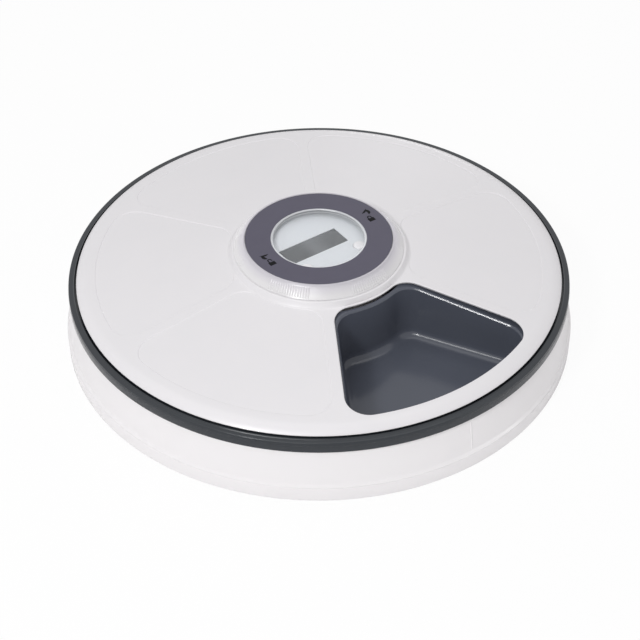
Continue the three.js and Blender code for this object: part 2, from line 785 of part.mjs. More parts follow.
// The ring has its teeth inside, a guide flange under them, and dogs on top for the tray.
function makeDriveRing() {
  const blank = turned([
    [ring_bore, ring_bottom],
    [ring_radius, ring_bottom],
    [ring_radius, ring_top],
    [ring_bore, ring_top],
  ], large_segments);
  const spaces = gearOutline(ring_teeth, ring_pitch_radius, tooth_width + backlash / 2,
    [ring_tip_radius, ring_root_radius]);
  const dog_solids = dog_angles.map((angle) => ringStretch(dog_bore, dog_radius,
    ring_top - ring_flange, ring_top + dog_height, angle, dog_width));
  const notches = Array.from({ length: meals }, (_, i) => ringStretch(tower_radius,
    ring_bore + index_notch_depth, ring_bottom - overrun, teeth_bottom + overrun,
    switch_angle + i * 2 * Math.PI / meals, index_notch_width));
  return joined([blank, ...dog_solids])
    .subtract(joined([extruded(spaces, teeth_bottom, ring_top + overrun), ...notches]));
}

// The switch stands on the floor, with its plunger through the tower's wall.
function makeIndexSwitch() {
  const front = Math.sqrt(case_reach ** 2 - (switch_width / 2) ** 2);
  const body = block(front - switch_depth, front, -switch_width / 2, switch_width / 2,
    floor_top + seat_gap, ring_bottom + plunger_height + switch_height / 2);
  const plunger = block(front - switch_depth / 2, tower_radius, -plunger_width / 2, plunger_width / 2,
    ring_bottom, ring_bottom + plunger_height);
  return body.add(plunger);
}

// One compartment's hollow: its floor is rounded into walls that lean outwards as they rise.
function pocketSolid() {
  const top = coneLevel(pocket_inner_top, tray_under_cone) + overrun;
  const side_top = sector_set_in - pocket_side_lap;
  const outlineAt = (z, inset) => {
    const depth_share = (top - z) / (top - pocket_floor);
    return mealOutline(
      pocket_inner_top + depth_share * pocket_inner_draft + inset,
      pocket_outer_top - depth_share * pocket_outer_draft - inset,
      side_top + depth_share * pocket_side_draft + inset,
      inner_corner - inset,
      outer_corner - inset,
    );
  };
  const levels = [];
  for (let i = 0; i <= fillet_steps; i += 1) {
    const angle = i / fillet_steps * Math.PI / 2;
    const z = pocket_floor + pocket_fillet * (1 - Math.cos(angle));
    levels.push({ z, outline: outlineAt(z, pocket_fillet * (1 - Math.sin(angle))) });
  }
  levels.push({ z: top, outline: outlineAt(top, 0) });
  return loft(levels);
}

// Between two compartments the tray is hollow from below, so that its walls stay thin.
function coreSlotSolid() {
  const low = sector_set_in - pocket_side_lap + pocket_side_draft - tray_wall;
  const high = low - pocket_side_draft * (flange_bottom - tray_bottom)
    / (coneLevel(pocket_inner_top, tray_under_cone) - tray_bottom);
  const start = wall_foot_inner + core_slot_inset;
  const end = pocket_outer_top - core_slot_inset;
  const outline = (half) => [[start, -half], [end, -half], [end, half], [start, half]];
  return loft([
    { z: tray_bottom - overrun, outline: outline(low) },
    { z: flange_bottom, outline: outline(high) },
  ]);
}

function makeFoodTray() {
  const outer_top = pocket_outer_top + tray_outer_wall;
  const web_share = (web_bottom - tray_bottom)
    / (coneLevel(wall_head_inner, tray_under_cone) - tray_bottom);
  const web_bore = tower_radius + web_to_tower;
  const body = turned([
    [wall_foot_inner, tray_bottom],
    [outer_top - tray_outer_draft, tray_bottom],
    [outer_top, flange_bottom],
    [lip_bore, flange_bottom],
    [lip_bore, flange_bottom - lip_drop],
    [lip_radius, flange_bottom - lip_drop],
    [rim_radius, rim_top - rim_round],
    [rim_radius - rim_round, rim_top],
    [rim_bore, rim_top],
    [rim_bore, flange_top],
    [outer_top, flange_top],
    [outer_top, coneLevel(outer_top, tray_under_cone)],
    [wall_head_inner, coneLevel(wall_head_inner, tray_under_cone)],
    [wall_foot_inner - web_share * pocket_inner_draft, web_bottom + web_thickness],
    [web_bore, web_bottom + web_thickness],
    [web_bore, web_bottom],
    [wall_foot_inner - web_share * pocket_inner_draft, web_bottom],
  ], large_segments);
  const pocket = pocketSolid();
  const slot = coreSlotSolid();
  const cuts = [];
  for (let i = 0; i < meals; i += 1) {
    cuts.push(aboutZ(pocket, mealAngle(i)));
    cuts.push(aboutZ(slot, mealAngle(i + 1 / 2)));
  }
  for (const angle of dog_angles) {
    cuts.push(ringStretch(dog_bore - seat_gap, dog_radius + seat_gap, web_bottom - overrun,
      web_bottom + web_thickness + dog_height, angle, dog_width + 2 * running_gap));
  }
  return body.subtract(joined(cuts));
}

function makeLid() {
  const collar_radius = cone_inner_radius - collar_slope;
  const steep = Math.PI / 2 - Math.atan(cone_slope);
  const centre = cone_outer_radius - lid_border_curve * Math.cos(steep);
  const centre_level = cone_outer_level - lid_border_curve * Math.sin(steep);
  const end = Math.acos((lid_radius - lid_edge_width - centre) / lid_border_curve);
  const inner_curve = lid_border_curve - lid_thickness;
  const inner_end = Math.acos((lid_radius - lid_thickness - centre) / inner_curve);
  const edge_top = centre_level + lid_border_curve * Math.sin(end) - lid_edge_width;
  const shell = turned([
    [lid_radius, lid_edge_bottom],
    [lid_radius, edge_top],
    ...arcPoints(centre, centre_level, lid_border_curve, end, steep, fillet_steps, 0),
    [cone_inner_radius, coneLevel(cone_inner_radius, 0)],
    [collar_radius, collar_top - collar_chamfer],
    [collar_radius - collar_chamfer, collar_top],
    [hub_bore, collar_top],
    [hub_bore, hub_bottom],
    [hub_bore + hub_wall, hub_bottom],
    [hub_bore + hub_wall, collar_top - lid_thickness],
    [collar_radius - lid_thickness, collar_top - lid_thickness],
    [collar_radius, coneLevel(collar_radius, lid_thickness)],
    ...arcPoints(centre, centre_level, inner_curve, steep, inner_end, 1, 0),
    [lid_radius - lid_thickness, lid_edge_bottom],
  ], large_segments);
  const keys = key_angles.map((angle) => ringStretch(hub_bore, hub_bore + hub_wall,
    hub_bottom - key_drop, hub_bottom + hub_wall, angle, key_width));
  const [serving, panel] = [0, panel_set_in].map((set_in) => extruded(mealOutline(opening_inner,
    opening_outer - set_in, sector_set_in, inner_corner, outer_corner), lid_edge_bottom,
  collar_top + overrun));
  const skin = turned([
    [cone_inner_radius, coneLevel(cone_inner_radius, panel_depth)],
    [cone_outer_radius, coneLevel(cone_outer_radius, panel_depth)],
    [cone_outer_radius, collar_top],
    [cone_inner_radius, collar_top],
  ], large_segments);
  const cuts = [aboutZ(serving, mealAngle(0))];
  for (let i = 1; i < meals; i += 1) {
    cuts.push(aboutZ(panel, mealAngle(i)).intersect(skin));
  }
  return joined([shell, ...keys]).subtract(joined(cuts));
}

// The cap's skirt slopes in from the collar to the rim of its flat top.
const skirt_radius = hub_bore + cap_skirt_lap;
const cap_rim_radius = skirt_radius - cap_slope;

function skirtRadius(level) {
  return skirt_radius - cap_slope * (level - cap_bottom) / (cap_height - cap_top_edge);
}

const label_radius = cap_rim_radius - label_border;
const label_bore = label_radius - label_width;

function makeClearCap() {
  const sleeve_bottom = shoulder_level + sleeve_over_shoulder;
  const plate_bottom = cap_top - cap_plate;
  const window_edge = label_bore - label_gap - window_chamfer;
  const inner_drop = (skirt_radius - cap_wall - sleeve_radius)
    / cap_slope * (cap_height - cap_top_edge);
  const body = turned([
    [skirt_radius, cap_bottom],
    [cap_rim_radius, cap_top - cap_top_edge],
    [cap_rim_radius - cap_top_edge, cap_top],
    [label_radius + label_gap, cap_top],
    [label_radius + label_gap, cap_top - label_thickness],
    [label_bore - label_gap, cap_top - label_thickness],
    [label_bore - label_gap, cap_top],
    [window_edge + window_step, cap_top],
    [window_edge, cap_top - window_step],
    [0, cap_top - window_step],
    [0, plate_bottom],
    [sleeve_bore, plate_bottom],
    [sleeve_bore, sleeve_bottom],
    [sleeve_radius, sleeve_bottom],
    [sleeve_radius, cap_bottom + inner_drop],
    [skirt_radius - cap_wall, cap_bottom],
  ], medium_segments);
  const lugs = Array.from({ length: bayonet_lugs }, (_, i) => ringStretch(head_radius + running_gap,
    sleeve_bore + sleeve_wall / 2, sleeve_bottom, sleeve_bottom + cap_lug_height,
    Math.PI / 2 + lock_turn + i * 2 * Math.PI / bayonet_lugs, lug_width));
  const ribs = [];
  const [low, high] = rib_slope_shares.map((share) => cap_bottom + share * cap_height);
  const ribOutline = (level) => {
    const outer = skirtRadius(level) + rib_height;
    const inner = outer - cap_wall / 2;
    return [[inner, -rib_width / 2], [outer, -rib_width / 2], [outer, rib_width / 2],
      [inner, rib_width / 2]];
  };
  const rib = loft([{ z: low, outline: ribOutline(low) }, { z: high, outline: ribOutline(high) }]);
  for (let group = 0; group < meals; group += 1) {
    for (let i = 0; i < rib_count; i += 1) {
      const along = (i - (rib_count - 1) / 2) * rib_pitch / skirt_radius;
      ribs.push(aboutZ(rib, mealAngle(group) + along));
    }
  }
  return joined([body, ...lugs, ...ribs]);
}

function makeLabelRing() {
  return turned([
    [label_bore, cap_top - label_thickness],
    [label_radius, cap_top - label_thickness],
    [label_radius, cap_top],
    [label_bore, cap_top],
  ], medium_segments);
}

const lens_low = -lens_shift - lens_length / 2;
const lens_high = -lens_shift + lens_length / 2;
const post_places = post_angles.map((angle) => [post_place_radius * Math.cos(angle),
  post_place_radius * Math.sin(angle)]);

function makeControlPanel() {
  const disc = rod(head_bore - seat_gap, panel_bottom, panel_top, 0, 0, medium_segments);
  const posts = post_places.map(([x, y]) => rod(post_radius, board_top + seat_gap,
    panel_top - panel_thickness / 2, x, y));
  const cuts = [
    block(lens_low - seat_gap, lens_high + seat_gap, -lens_width / 2 - seat_gap,
      lens_width / 2 + seat_gap, panel_bottom - overrun, panel_top + overrun),
    ...button_places.map(([x, y]) => rod(button_radius + seat_gap, panel_bottom - overrun,
      panel_top + overrun, x, y, small_segments)),
    ...post_places.map(([x, y]) => rod(screw_hole, board_top, panel_bottom + seat_gap, x, y)),
  ];
  return joined([disc, ...posts]).subtract(joined(cuts));
}

function makeLcdLens() {
  return block(lens_low, lens_high, -lens_width / 2, lens_width / 2, panel_top - lens_thickness,
    panel_top);
}

function makeLcdModule() {
  return block(lens_low - lcd_border, lens_high + lcd_border, -lens_width / 2 - lcd_border,
    lens_width / 2 + lcd_border, board_top + seat_gap, board_top + seat_gap + lcd_thickness);
}

function makeControlBoard() {
  const disc = rod(board_radius, board_bottom, board_top, 0, 0, medium_segments);
  const holes = post_places.map(([x, y]) => rod(screw_hole, board_bottom - overrun,
    board_top + overrun, x, y));
  return disc.subtract(joined(holes));
}

const button_flange_top = panel_bottom - seat_gap;
const button_bottom = button_flange_top - button_flange_height;

function makeButton() {
  const crest = panel_top + button_stand;
  return turned([
    [0, button_bottom],
    [button_radius + button_flange, button_bottom],
    [button_radius + button_flange, button_flange_top],
    [button_radius, button_flange_top],
    [button_radius, crest - button_dome],
    [0, crest],
  ], small_segments);
}

// A rubber mat with a dome under each button
function makeKeyMat() {
  const bottom = board_top + seat_gap;
  const side = Math.max(...button_places.map(([x]) => x)) + button_radius + button_flange + mat_border;
  const front = Math.min(...button_places.map(([, y]) => y)) - button_radius - button_flange;
  const back = Math.max(...button_places.map(([, y]) => y)) + button_radius;
  const room = rod(board_radius - seat_gap, bottom, bottom + mat_thickness, 0, 0, medium_segments);
  const sheet = block(-side, side, front, back, bottom, bottom + mat_thickness).intersect(room);
  const domes = button_places.map(([x, y]) => rod(mat_dome_radius, bottom + mat_thickness / 2,
    button_bottom - button_travel - button_over_dome, x, y));
  const holes = post_places.map(([x, y]) => rod(post_radius + seat_gap, bottom - overrun,
    bottom + overrun, x, y));
  return joined([sheet, ...domes]).subtract(joined(holes));
}

// The standing part of the assembly
addPiece('bottom_cover', makeBottomCover(), 'white_gloss');
addPiece('base_shell', makeBaseShell(), 'white_gloss');
foot_places.forEach(([x, y], i) => {
  addPiece(`foot_${i + 1}`, makeFoot(), 'black_rubber').position.set(x, y, 0);
});
addPiece('battery_door', makeBatteryDoor(), 'white_plastic');
addPiece('battery_holder', makeBatteryHolder(), 'inner_plastic');
cell_places.forEach(([x, y], i) => {
  addPiece(`cell_${i + 1}`, makeCell(), 'cell_jacket').position.set(x, y, cell_level);
});
addPiece('minus_contacts', makeContacts(hole_y_low, -cell_reach), 'steel');
addPiece('plus_contacts', makeContacts(hole_y_high, cell_reach - 2 * cell_shift), 'steel');
addPiece('gearmotor_case', makeGearmotorCase(), 'inner_plastic');
addPiece('motor_can', makeMotorCan(), 'steel');
addPiece('index_switch', makeIndexSwitch(), 'inner_plastic').rotation.z = switch_angle;

// The screws that hold it together, all put in from below
cover_screw_places.forEach(([x, y], i) => {
  const level = floor_bottom + screw_head_height;
  const length = floor_top + screw_pad_height - level + screw_bite;
  addPiece(`cover_screw_${i + 1}`, screwSolid(length), 'steel').position.set(x, y, level);
});
addPiece('door_screw', screwSolid(door_screw_length), 'steel')
  .position.set(0, tab_y, floor_bottom + screw_head_height);
motor_screw_places.forEach(([x, y], i) => {
  const length = seat_gap + case_height + seat_gap + motor_screw_bite;
  addPiece(`motor_screw_${i + 1}`, screwSolid(length), 'steel')
    .position.set(x, y, case_bottom - seat_gap);
});
post_places.forEach(([x, y], i) => {
  addPiece(`board_screw_${i + 1}`, screwSolid(board_screw_length), 'steel')
    .position.set(x, y, board_bottom - seat_gap);
});

// The drive and the tray that it carries round
const drive = new THREE.Group();
feeder.add(drive);
addPiece('drive_pinion', makeDrivePinion(), 'gear_plastic', drive).position.y = pinion_place;
addPiece('drive_ring', makeDriveRing(), 'gear_plastic', drive);
addPiece('food_tray', makeFoodTray(), 'tray_plastic', drive);

// The lid and the cap that locks it
const cover = new THREE.Group();
feeder.add(cover);
addPiece('lid', makeLid(), 'white_gloss', cover);
addPiece('clear_cap', makeClearCap(), 'clear_plastic', cover);
addPiece('label_ring', makeLabelRing(), 'label_print', cover);

// The controls on the tower's head
const controls = new THREE.Group();
feeder.add(controls);
addPiece('control_panel', makeControlPanel(), 'panel_plastic', controls);
addPiece('lcd_lens', makeLcdLens(), 'display', controls);
addPiece('lcd_module', makeLcdModule(), 'inner_plastic', controls);
addPiece('control_board', makeControlBoard(), 'board_green', controls);
addPiece('key_mat', makeKeyMat(), 'black_rubber', controls);
button_places.forEach(([x, y], i) => {
  addPiece(`button_${i + 1}`, makeButton(), 'white_plastic', controls).position.set(x, y, 0);
});

export default feeder;
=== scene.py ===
# %% [markdown]
# A meal tray feeder for pets. A dark tray with six compartments turns under a white lid that has
# one opening. This first cell loads the model that holds every part at its real size. Each new
# piece below stands for one of its parts, in the same place, with the finer surface of the real one.

import math

import bmesh
import bpy
from mathutils import Matrix, Vector


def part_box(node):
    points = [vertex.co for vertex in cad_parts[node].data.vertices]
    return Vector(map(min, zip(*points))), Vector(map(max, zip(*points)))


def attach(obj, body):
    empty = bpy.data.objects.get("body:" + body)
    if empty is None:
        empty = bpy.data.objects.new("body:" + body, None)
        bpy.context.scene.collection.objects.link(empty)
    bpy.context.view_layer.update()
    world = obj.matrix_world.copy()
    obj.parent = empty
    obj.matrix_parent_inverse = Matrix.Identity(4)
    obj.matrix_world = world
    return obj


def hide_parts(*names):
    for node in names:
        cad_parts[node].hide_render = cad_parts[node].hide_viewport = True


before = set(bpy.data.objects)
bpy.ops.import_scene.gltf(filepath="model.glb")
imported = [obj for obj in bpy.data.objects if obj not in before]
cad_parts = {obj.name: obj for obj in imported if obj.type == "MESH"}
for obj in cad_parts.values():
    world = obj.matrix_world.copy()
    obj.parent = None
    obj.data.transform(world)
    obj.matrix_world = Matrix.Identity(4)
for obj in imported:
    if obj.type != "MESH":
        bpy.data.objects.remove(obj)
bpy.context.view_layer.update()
bpy.ops.object.select_all(action="DESELECT")

# %% [markdown]
# The camera stands where the photographer stood: a little over half a metre from the feeder, high
# enough to see the lid and the base at once. Its place and its turn were found from the ellipses
# that the round rims make in the picture. Standard colours keep white plastic white.

# %% Camera and colour
mm = 0.001
camera_place = Vector((-454.9, -653.3, 681.4)) * mm
camera_turn = math.radians(-34.85)
camera_yaw = 0.00067
camera_pitch = 0.709
camera_roll = -0.00489
photo_width = 640
photo_focal = 1600

heading = camera_yaw - camera_turn
forward = Vector((
    math.sin(heading) * math.cos(camera_pitch),
    math.cos(heading) * math.cos(camera_pitch),
    -math.sin(camera_pitch),
))
level_right = forward.cross(Vector((0, 0, 1))).normalized()
level_up = level_right.cross(forward)
right = level_right * math.cos(camera_roll) + level_up * math.sin(camera_roll)
up = level_up * math.cos(camera_roll) - level_right * math.sin(camera_roll)

bpy.ops.object.camera_add(location=camera_place)
camera = bpy.context.object
camera.name = "photo_camera"
camera.rotation_euler = Matrix((right, up, -forward)).transposed().to_euler()
camera.data.sensor_width = 36
camera.data.lens = camera.data.sensor_width * photo_focal / photo_width
camera.data.clip_start = 0.05
camera.data.clip_end = 20
bpy.context.scene.camera = camera
bpy.context.scene.view_settings.view_transform = "Standard"
print("lens:", round(camera.data.lens, 1), "mm, looking", [round(v, 3) for v in forward])

# %% [markdown]
# Every size below is read from the model or is a small detail of the moulding. The lid is a
# shallow cone, and one rule gives its height at any distance from the middle.

# %% Sizes that the pieces share
lid_low, lid_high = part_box("lid")
tray_low, tray_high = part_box("food_tray")
base_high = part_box("base_shell")[1]
cover_low, cover_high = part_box("bottom_cover")
cap_low, cap_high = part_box("clear_cap")
label_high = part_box("label_ring")[1]
panel_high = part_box("control_panel")[1]

meals = 6
lid_radius = lid_high.x
lid_thickness = 2.0 * mm
border_curve = 12.2 * mm
cone_outer = lid_radius - 7.8 * mm
cone_inner = 57.0 * mm
cone_edge_level = 47.8 * mm
cone_rise = 8.7 * mm
cone_slope = cone_rise / (cone_outer - cone_inner)
collar_top = lid_high.z
opening_inner = 57.8 * mm
opening_outer = lid_radius - 10.1 * mm
opening_side = 3.4 * mm
opening_corner_inner = 13 * mm
opening_corner_outer = 14 * mm


def cone_level(radius, below=0.0):
    return cone_edge_level + (cone_outer - radius) * cone_slope - below


def meal_angle(index):
    return -math.pi / 2 + index * math.tau / meals


print("lid radius", round(lid_radius / mm, 1), "mm, collar top at", round(collar_top / mm, 1), "mm")

# %% [markdown]
# Turned parts are drawn as a half section and spun. Here a single point is pushed along the
# section with extrude, as one would by hand, then spin carries it round the axis and the
# doubled seam is merged. Arcs in the section give the soft edges that a mould leaves.

# %% Sections and spinning
def only(piece):
    bpy.ops.object.select_all(action="DESELECT")
    piece.select_set(True)
    bpy.context.view_layer.objects.active = piece


def arc(centre_x, centre_z, radius, start, end, steps=5):
    """Points of an arc in degrees, both ends included."""
    points = []
    for i in range(steps + 1):
        angle = math.radians(start + (end - start) * i / steps)
        points.append((centre_x + radius * math.cos(angle), centre_z + radius * math.sin(angle)))
    return points


upper_outer, upper_inner, lower_outer = 0, 90, -90


def rounded(x, z, radius, corner, steps=3):
    """A section's corner at x and z, rounded with a quarter of a circle that starts at corner."""
    outwards = -1 if corner == upper_inner else 1
    upwards = -1 if corner == lower_outer else 1
    return arc(x - outwards * radius, z - upwards * radius, radius, corner, corner + 90, steps)


def drawn(name, points):
    """A line of edges through the points of a section, made from one point by extruding."""
    bpy.ops.object.select_all(action="DESELECT")
    bpy.ops.mesh.primitive_plane_add(size=mm)
    piece = bpy.context.object
    piece.name = name
    bpy.ops.object.mode_set(mode="EDIT")
    bpy.ops.mesh.merge(type="CENTER")
    corners = [Vector((x, 0, z)) for x, z in points]
    bpy.ops.transform.translate(value=corners[0])
    for before, after in zip(corners, corners[1:]):
        bpy.ops.mesh.extrude_vertices_move(TRANSFORM_OT_translate={"value": after - before})
    return piece


def clean_shell():
    """In edit mode: doubles merged, then every face turned outwards."""
    bpy.ops.mesh.select_all(action="SELECT")
    bpy.ops.mesh.remove_doubles(threshold=0.002 * mm)
    bpy.ops.mesh.normals_make_consistent(inside=False)


def smoothed(piece, degrees=32):
    """Smooth shading, with a crease wherever two faces meet at more than the angle."""
    only(piece)
    bpy.ops.object.shade_smooth_by_angle(angle=math.radians(degrees))


def spun(name, points, steps=192, closed=True):
    """A section spun all the way round Z."""
    section = list(points) + ([points[0]] if closed else [])
    piece = drawn(name, section)
    bpy.ops.mesh.select_all(action="SELECT")
    bpy.ops.mesh.spin(steps=steps, angle=math.tau, center=(0, 0, 0), axis=(0, 0, 1))
    clean_shell()
    bpy.ops.object.mode_set(mode="OBJECT")
    smoothed(piece)
    return piece


print("an arc in five steps:", [(round(x, 2), round(z, 2)) for x, z in arc(0, 0, 1, 0, 90)])

# %% [markdown]
# What isn't round grows from a flat outline: its face is extruded from one loop of points to the
# next, and each new loop may be wider or lie at another level. Lugs and pegs are then joined to a
# piece, and holes cut from it, with a boolean, as one would join or cut clay.

# %% Loops, cuts and copies
def extruded_loops(name, loops):
    """A closed solid from loops of equally many points: the first loop's face is pulled along."""
    bpy.ops.object.select_all(action="DESELECT")
    bpy.ops.mesh.primitive_circle_add(vertices=len(loops[0]), radius=mm, fill_type="NGON")
    piece = bpy.context.object
    piece.name = name
    bpy.ops.object.mode_set(mode="EDIT")
    mesh = bmesh.from_edit_mesh(piece.data)
    mesh.verts.ensure_lookup_table()
    for vertex, place in zip(mesh.verts, loops[0]):
        vertex.co = place
    bpy.ops.mesh.select_all(action="SELECT")
    for before, after in zip(loops, loops[1:]):
        bpy.ops.mesh.extrude_region_move()
        mesh = bmesh.from_edit_mesh(piece.data)
        order = {tuple(round(v, 7) for v in place): i for i, place in enumerate(before)}
        for vertex in mesh.verts:
            if vertex.select:
                vertex.co = after[order[tuple(round(v, 7) for v in vertex.co)]]
    bmesh.update_edit_mesh(piece.data)
    clean_shell()
    bpy.ops.object.mode_set(mode="OBJECT")
    smoothed(piece)
    return piece


def combine(piece, other, operation="DIFFERENCE"):
    """Cuts, joins or trims piece with other, and takes other away."""
    only(piece)
    bpy.ops.object.modifier_add(type="BOOLEAN")
    step = piece.modifiers[-1]
    step.operation = operation
    step.solver = "EXACT"
    step.object = other
    bpy.ops.object.modifier_apply(modifier=step.name)
    bpy.data.objects.remove(other)


def joined(pieces):
    """Several meshes become one object, each with its own closed shell."""
    bpy.ops.object.select_all(action="DESELECT")
    for piece in pieces:
        piece.select_set(True)
    bpy.context.view_layer.objects.active = pieces[0]
    bpy.ops.object.join()
    return pieces[0]


def turned_copy(piece, angle):
    """A copy with its own mesh, turned about the Z axis through the middle of the feeder."""
    only(piece)
    bpy.ops.object.duplicate()
    copy = bpy.context.object
    copy.data.transform(Matrix.Rotation(angle, 4, "Z"))
    return copy


def to_loop(points, level):
    """Flat points lifted to a level, or to the level that a rule gives at their radius."""
    rule = level if callable(level) else (lambda radius: level)
    return [Vector((x, y, rule(math.hypot(x, y)))) for x, y in points]


print("a loop's first point:", to_loop([(1, 0)], 2)[0])

# %% [markdown]
# The lid's opening, its five panels and the tray's compartments are all one sector with round
# corners, drawn about the X axis. A corner's centre lies where a circle of its radius touches both
# the arc and the straight side. Only the upper half is worked out, and the lower half mirrors it.

# %% Outline of a serving place
def meal_outline(grow=0.0, inner=opening_inner, outer=opening_outer, side=opening_side,
                 round_inner=opening_corner_inner, round_outer=opening_corner_outer):
    """The sector that the opening, the panels and the compartments share, grown on every side."""
    outer_steps, corner_steps, inner_steps = 14, 12, 5
    inner, outer, side = inner - grow, outer + grow, side - grow
    round_inner, round_outer = round_inner + grow, round_outer + grow
    half = math.pi / meals
    turn_outer = half - math.asin((side + round_outer) / (outer - round_outer))
    turn_inner = half - math.asin((side + round_inner) / (inner + round_inner))
    square = half + math.pi / 2

    def bend(reach, turn, radius, start, end, count):
        centre = Vector((reach * math.cos(turn), reach * math.sin(turn)))
        return [centre + radius * Vector((math.cos(a), math.sin(a)))
                for a in (start + (end - start) * i / count for i in range(count + 1))]

    upper = bend(0, 0, outer, 0, turn_outer, outer_steps)
    upper += bend(outer - round_outer, turn_outer, round_outer, turn_outer, square, corner_steps)[1:]
    upper += bend(inner + round_inner, turn_inner, round_inner, square, turn_inner + math.pi,
                  corner_steps)
    upper += bend(0, 0, inner, turn_inner, 0, inner_steps)[1:]
    lower = [Vector((p.x, -p.y)) for p in reversed(upper[1:-1])]
    return [(p.x, p.y) for p in upper + lower]


def at_meal(index, loops):
    """Loops drawn about the X axis, turned to one of the six places."""
    turn = Matrix.Rotation(meal_angle(index), 4, "Z")
    return [[turn @ p for p in loop] for loop in loops]


print("outline points:", len(meal_outline()))

# %% [markdown]
# Materials are small sums of nodes. To keep them readable, a socket is wrapped in a class whose
# operators add the Math nodes, so that a mask can be written as 1 - edge * 0.5.

# %% Shader helpers
class Socket:
    """A node's output, to be used in a sum with numbers and other outputs."""

    def __init__(self, finish, source):
        self.finish = finish
        self.source = source

    def _math(self, operation, first, second):
        return self.finish.node("ShaderNodeMath", {"operation": operation}, [first, second])

    def __add__(self, other):
        return self._math("ADD", self, other)

    __radd__ = __add__

    def __mul__(self, other):
        return self._math("MULTIPLY", self, other)

    __rmul__ = __mul__

    def __sub__(self, other):
        return self._math("SUBTRACT", self, other)

    def __rsub__(self, other):
        return self._math("SUBTRACT", other, self)

    def between(self, low, high):
        """0 below low, 1 above high, and a straight ramp from one to the other."""
        return self.finish.node("ShaderNodeMapRange", {"clamp": True},
                                {"Value": self, "From Min": low, "From Max": high})


class Finish:
    """A material for this object's surfaces, and the nodes in it."""

    def __init__(self, name, colour, roughness, **fixed):
        self.material = bpy.data.materials.new(name)
        self.material.use_nodes = True
        self.tree = self.material.node_tree
        self.shader = self.tree.nodes["Principled BSDF"]
        self.set("Base Color", (*colour, 1.0))
        self.set("Roughness", roughness)
        for socket, value in fixed.items():
            self.set(socket.replace("_", " "), value)

    def set(self, socket, value):
        target = self.shader.inputs[socket]
        if isinstance(value, Socket):
            self.tree.links.new(value.source, target)
        else:
            target.default_value = value

    def node(self, kind, settings, values, output=0):
        """A node of any kind: its settings first, then the values or links of its sockets."""
        made = self.tree.nodes.new(kind)
        for name, value in settings.items():
            setattr(made, name, value)
        pairs = values.items() if isinstance(values, dict) else enumerate(values)
        for key, value in pairs:
            if isinstance(value, Socket):
                self.tree.links.new(value.source, made.inputs[key])
            else:
                made.inputs[key].default_value = value
        return Socket(self, made.outputs[output])

    def place(self):
        """The point on the object, in metres."""
        return self.node("ShaderNodeTexCoord", {}, [], output="Object")

    def radius(self):
        """The distance from the feeder's upright axis."""
        flat = self.node("ShaderNodeVectorMath", {"operation": "MULTIPLY"}, [self.place(), (1, 1, 0)])
        return self.node("ShaderNodeVectorMath", {"operation": "LENGTH"}, [flat], output="Value")

    def noise(self, scale, detail=3.0):
        return self.node("ShaderNodeTexNoise", {}, {
            "Vector": self.place(), "Scale": scale, "Detail": detail})

    def mix(self, factor, first, second):
        """A colour between two: sockets 6 and 7 of the node are its two colours, 2 its result."""
        colours = [(*tone, 1.0) if isinstance(tone, tuple) else tone for tone in (first, second)]
        return self.node("ShaderNodeMix", {"data_type": "RGBA"},
                         {0: factor, 6: colours[0], 7: colours[1]}, output=2)

    def bump(self, height, distance):
        return self.node("ShaderNodeBump", {}, {
            "Height": height, "Distance": distance, "Strength": 1.0}, output="Normal")

    def mottled(self, scale, detail, first, second):
        """The colour drifts between two near tones."""
        self.set("Base Color", self.mix(self.noise(scale, detail), first, second))

    def worn(self, least, spread, scale, detail=3.0):
        """The roughness wanders upwards from its least value."""
        self.set("Roughness", least + self.noise(scale, detail) * spread)

    def grained(self, scale, detail, depth):
        """A fine grain stands on the surface, its depth in metres."""
        self.set("Normal", self.bump(self.noise(scale, detail), depth))


def painted(piece, finish):
    """The piece gets one finish."""
    piece.data.materials.clear()
    piece.data.materials.append(finish.material)


def linear(red, green, blue):
    """A colour as a picture shows it, 0 to 255, in the values that light is worked out in."""
    return tuple((c / 255 / 12.92) if c / 255 <= 0.04045 else ((c / 255 + 0.055) / 1.055) ** 2.4
                 for c in (red, green, blue))


print("shader helpers ready")

# %% [markdown]
# The white shells are glossy moulded plastic. It isn't perfectly flat: a very slow waviness bends
# its reflections, and handling leaves the gloss a little uneven. Both are slight, because a clean
# new part looks smooth. The tray is dark and satin. Its compartments are painted lighter, as
# painted light, and its outer rim darker, as painted shade.

# %% Finishes of the shells and the tray
white_gloss = Finish("white_gloss", linear(229, 227, 229), 0.34, Coat_Weight=0.05)
wave = white_gloss.noise(7, 1.0)
cloud = white_gloss.noise(40, 4.0)
white_gloss.set("Roughness", 0.31 + cloud * 0.06)
white_gloss.set("Base Color", white_gloss.mix(cloud, linear(231, 229, 231), linear(227, 226, 228)))
white_gloss.set("Normal", white_gloss.bump(wave, 0.3 * mm))

base_gloss = Finish("base_gloss", linear(238, 236, 237), 0.26, Coat_Weight=0.2)
base_cloud = base_gloss.noise(9, 2.0)
base_gloss.set("Roughness", 0.2 + base_cloud * 0.04)
base_gloss.set("Base Color", base_gloss.mix(base_cloud, linear(240, 238, 239), linear(237, 235, 236)))

tray_satin = Finish("tray_satin", linear(54, 58, 64), 0.22, Specular_IOR_Level=0.36)
tray_cloud = tray_satin.noise(28, 4.0)
tray_satin.set("Roughness", 0.12 + tray_cloud * 0.05)
# Painted light and shade: the compartments get a lighter tone and the outer rim a darker one.
rim_painted_shade = tray_satin.mix(tray_cloud, linear(43, 47, 52), linear(49, 53, 58))
wells_painted_light = tray_satin.mix(tray_cloud, linear(79, 83, 93), linear(85, 89, 100))
tray_body_radius = 147.0 * mm
beyond_wells = tray_satin.radius().between(tray_body_radius - 1 * mm, tray_body_radius)
tray_satin.set("Base Color", tray_satin.mix(beyond_wells, wells_painted_light, rim_painted_shade))

print("shell finishes ready")

# %% [markdown]
# The floor of the base is a dish with a low band, which ends below in a narrow rim that all but
# meets the table. The section is spun, and then the door's place, the feet's places and the screw
# holes are cut in from below. A cutter always reaches well past the surfaces that it goes through,
# because a boolean is unsure where two faces lie in one plane.

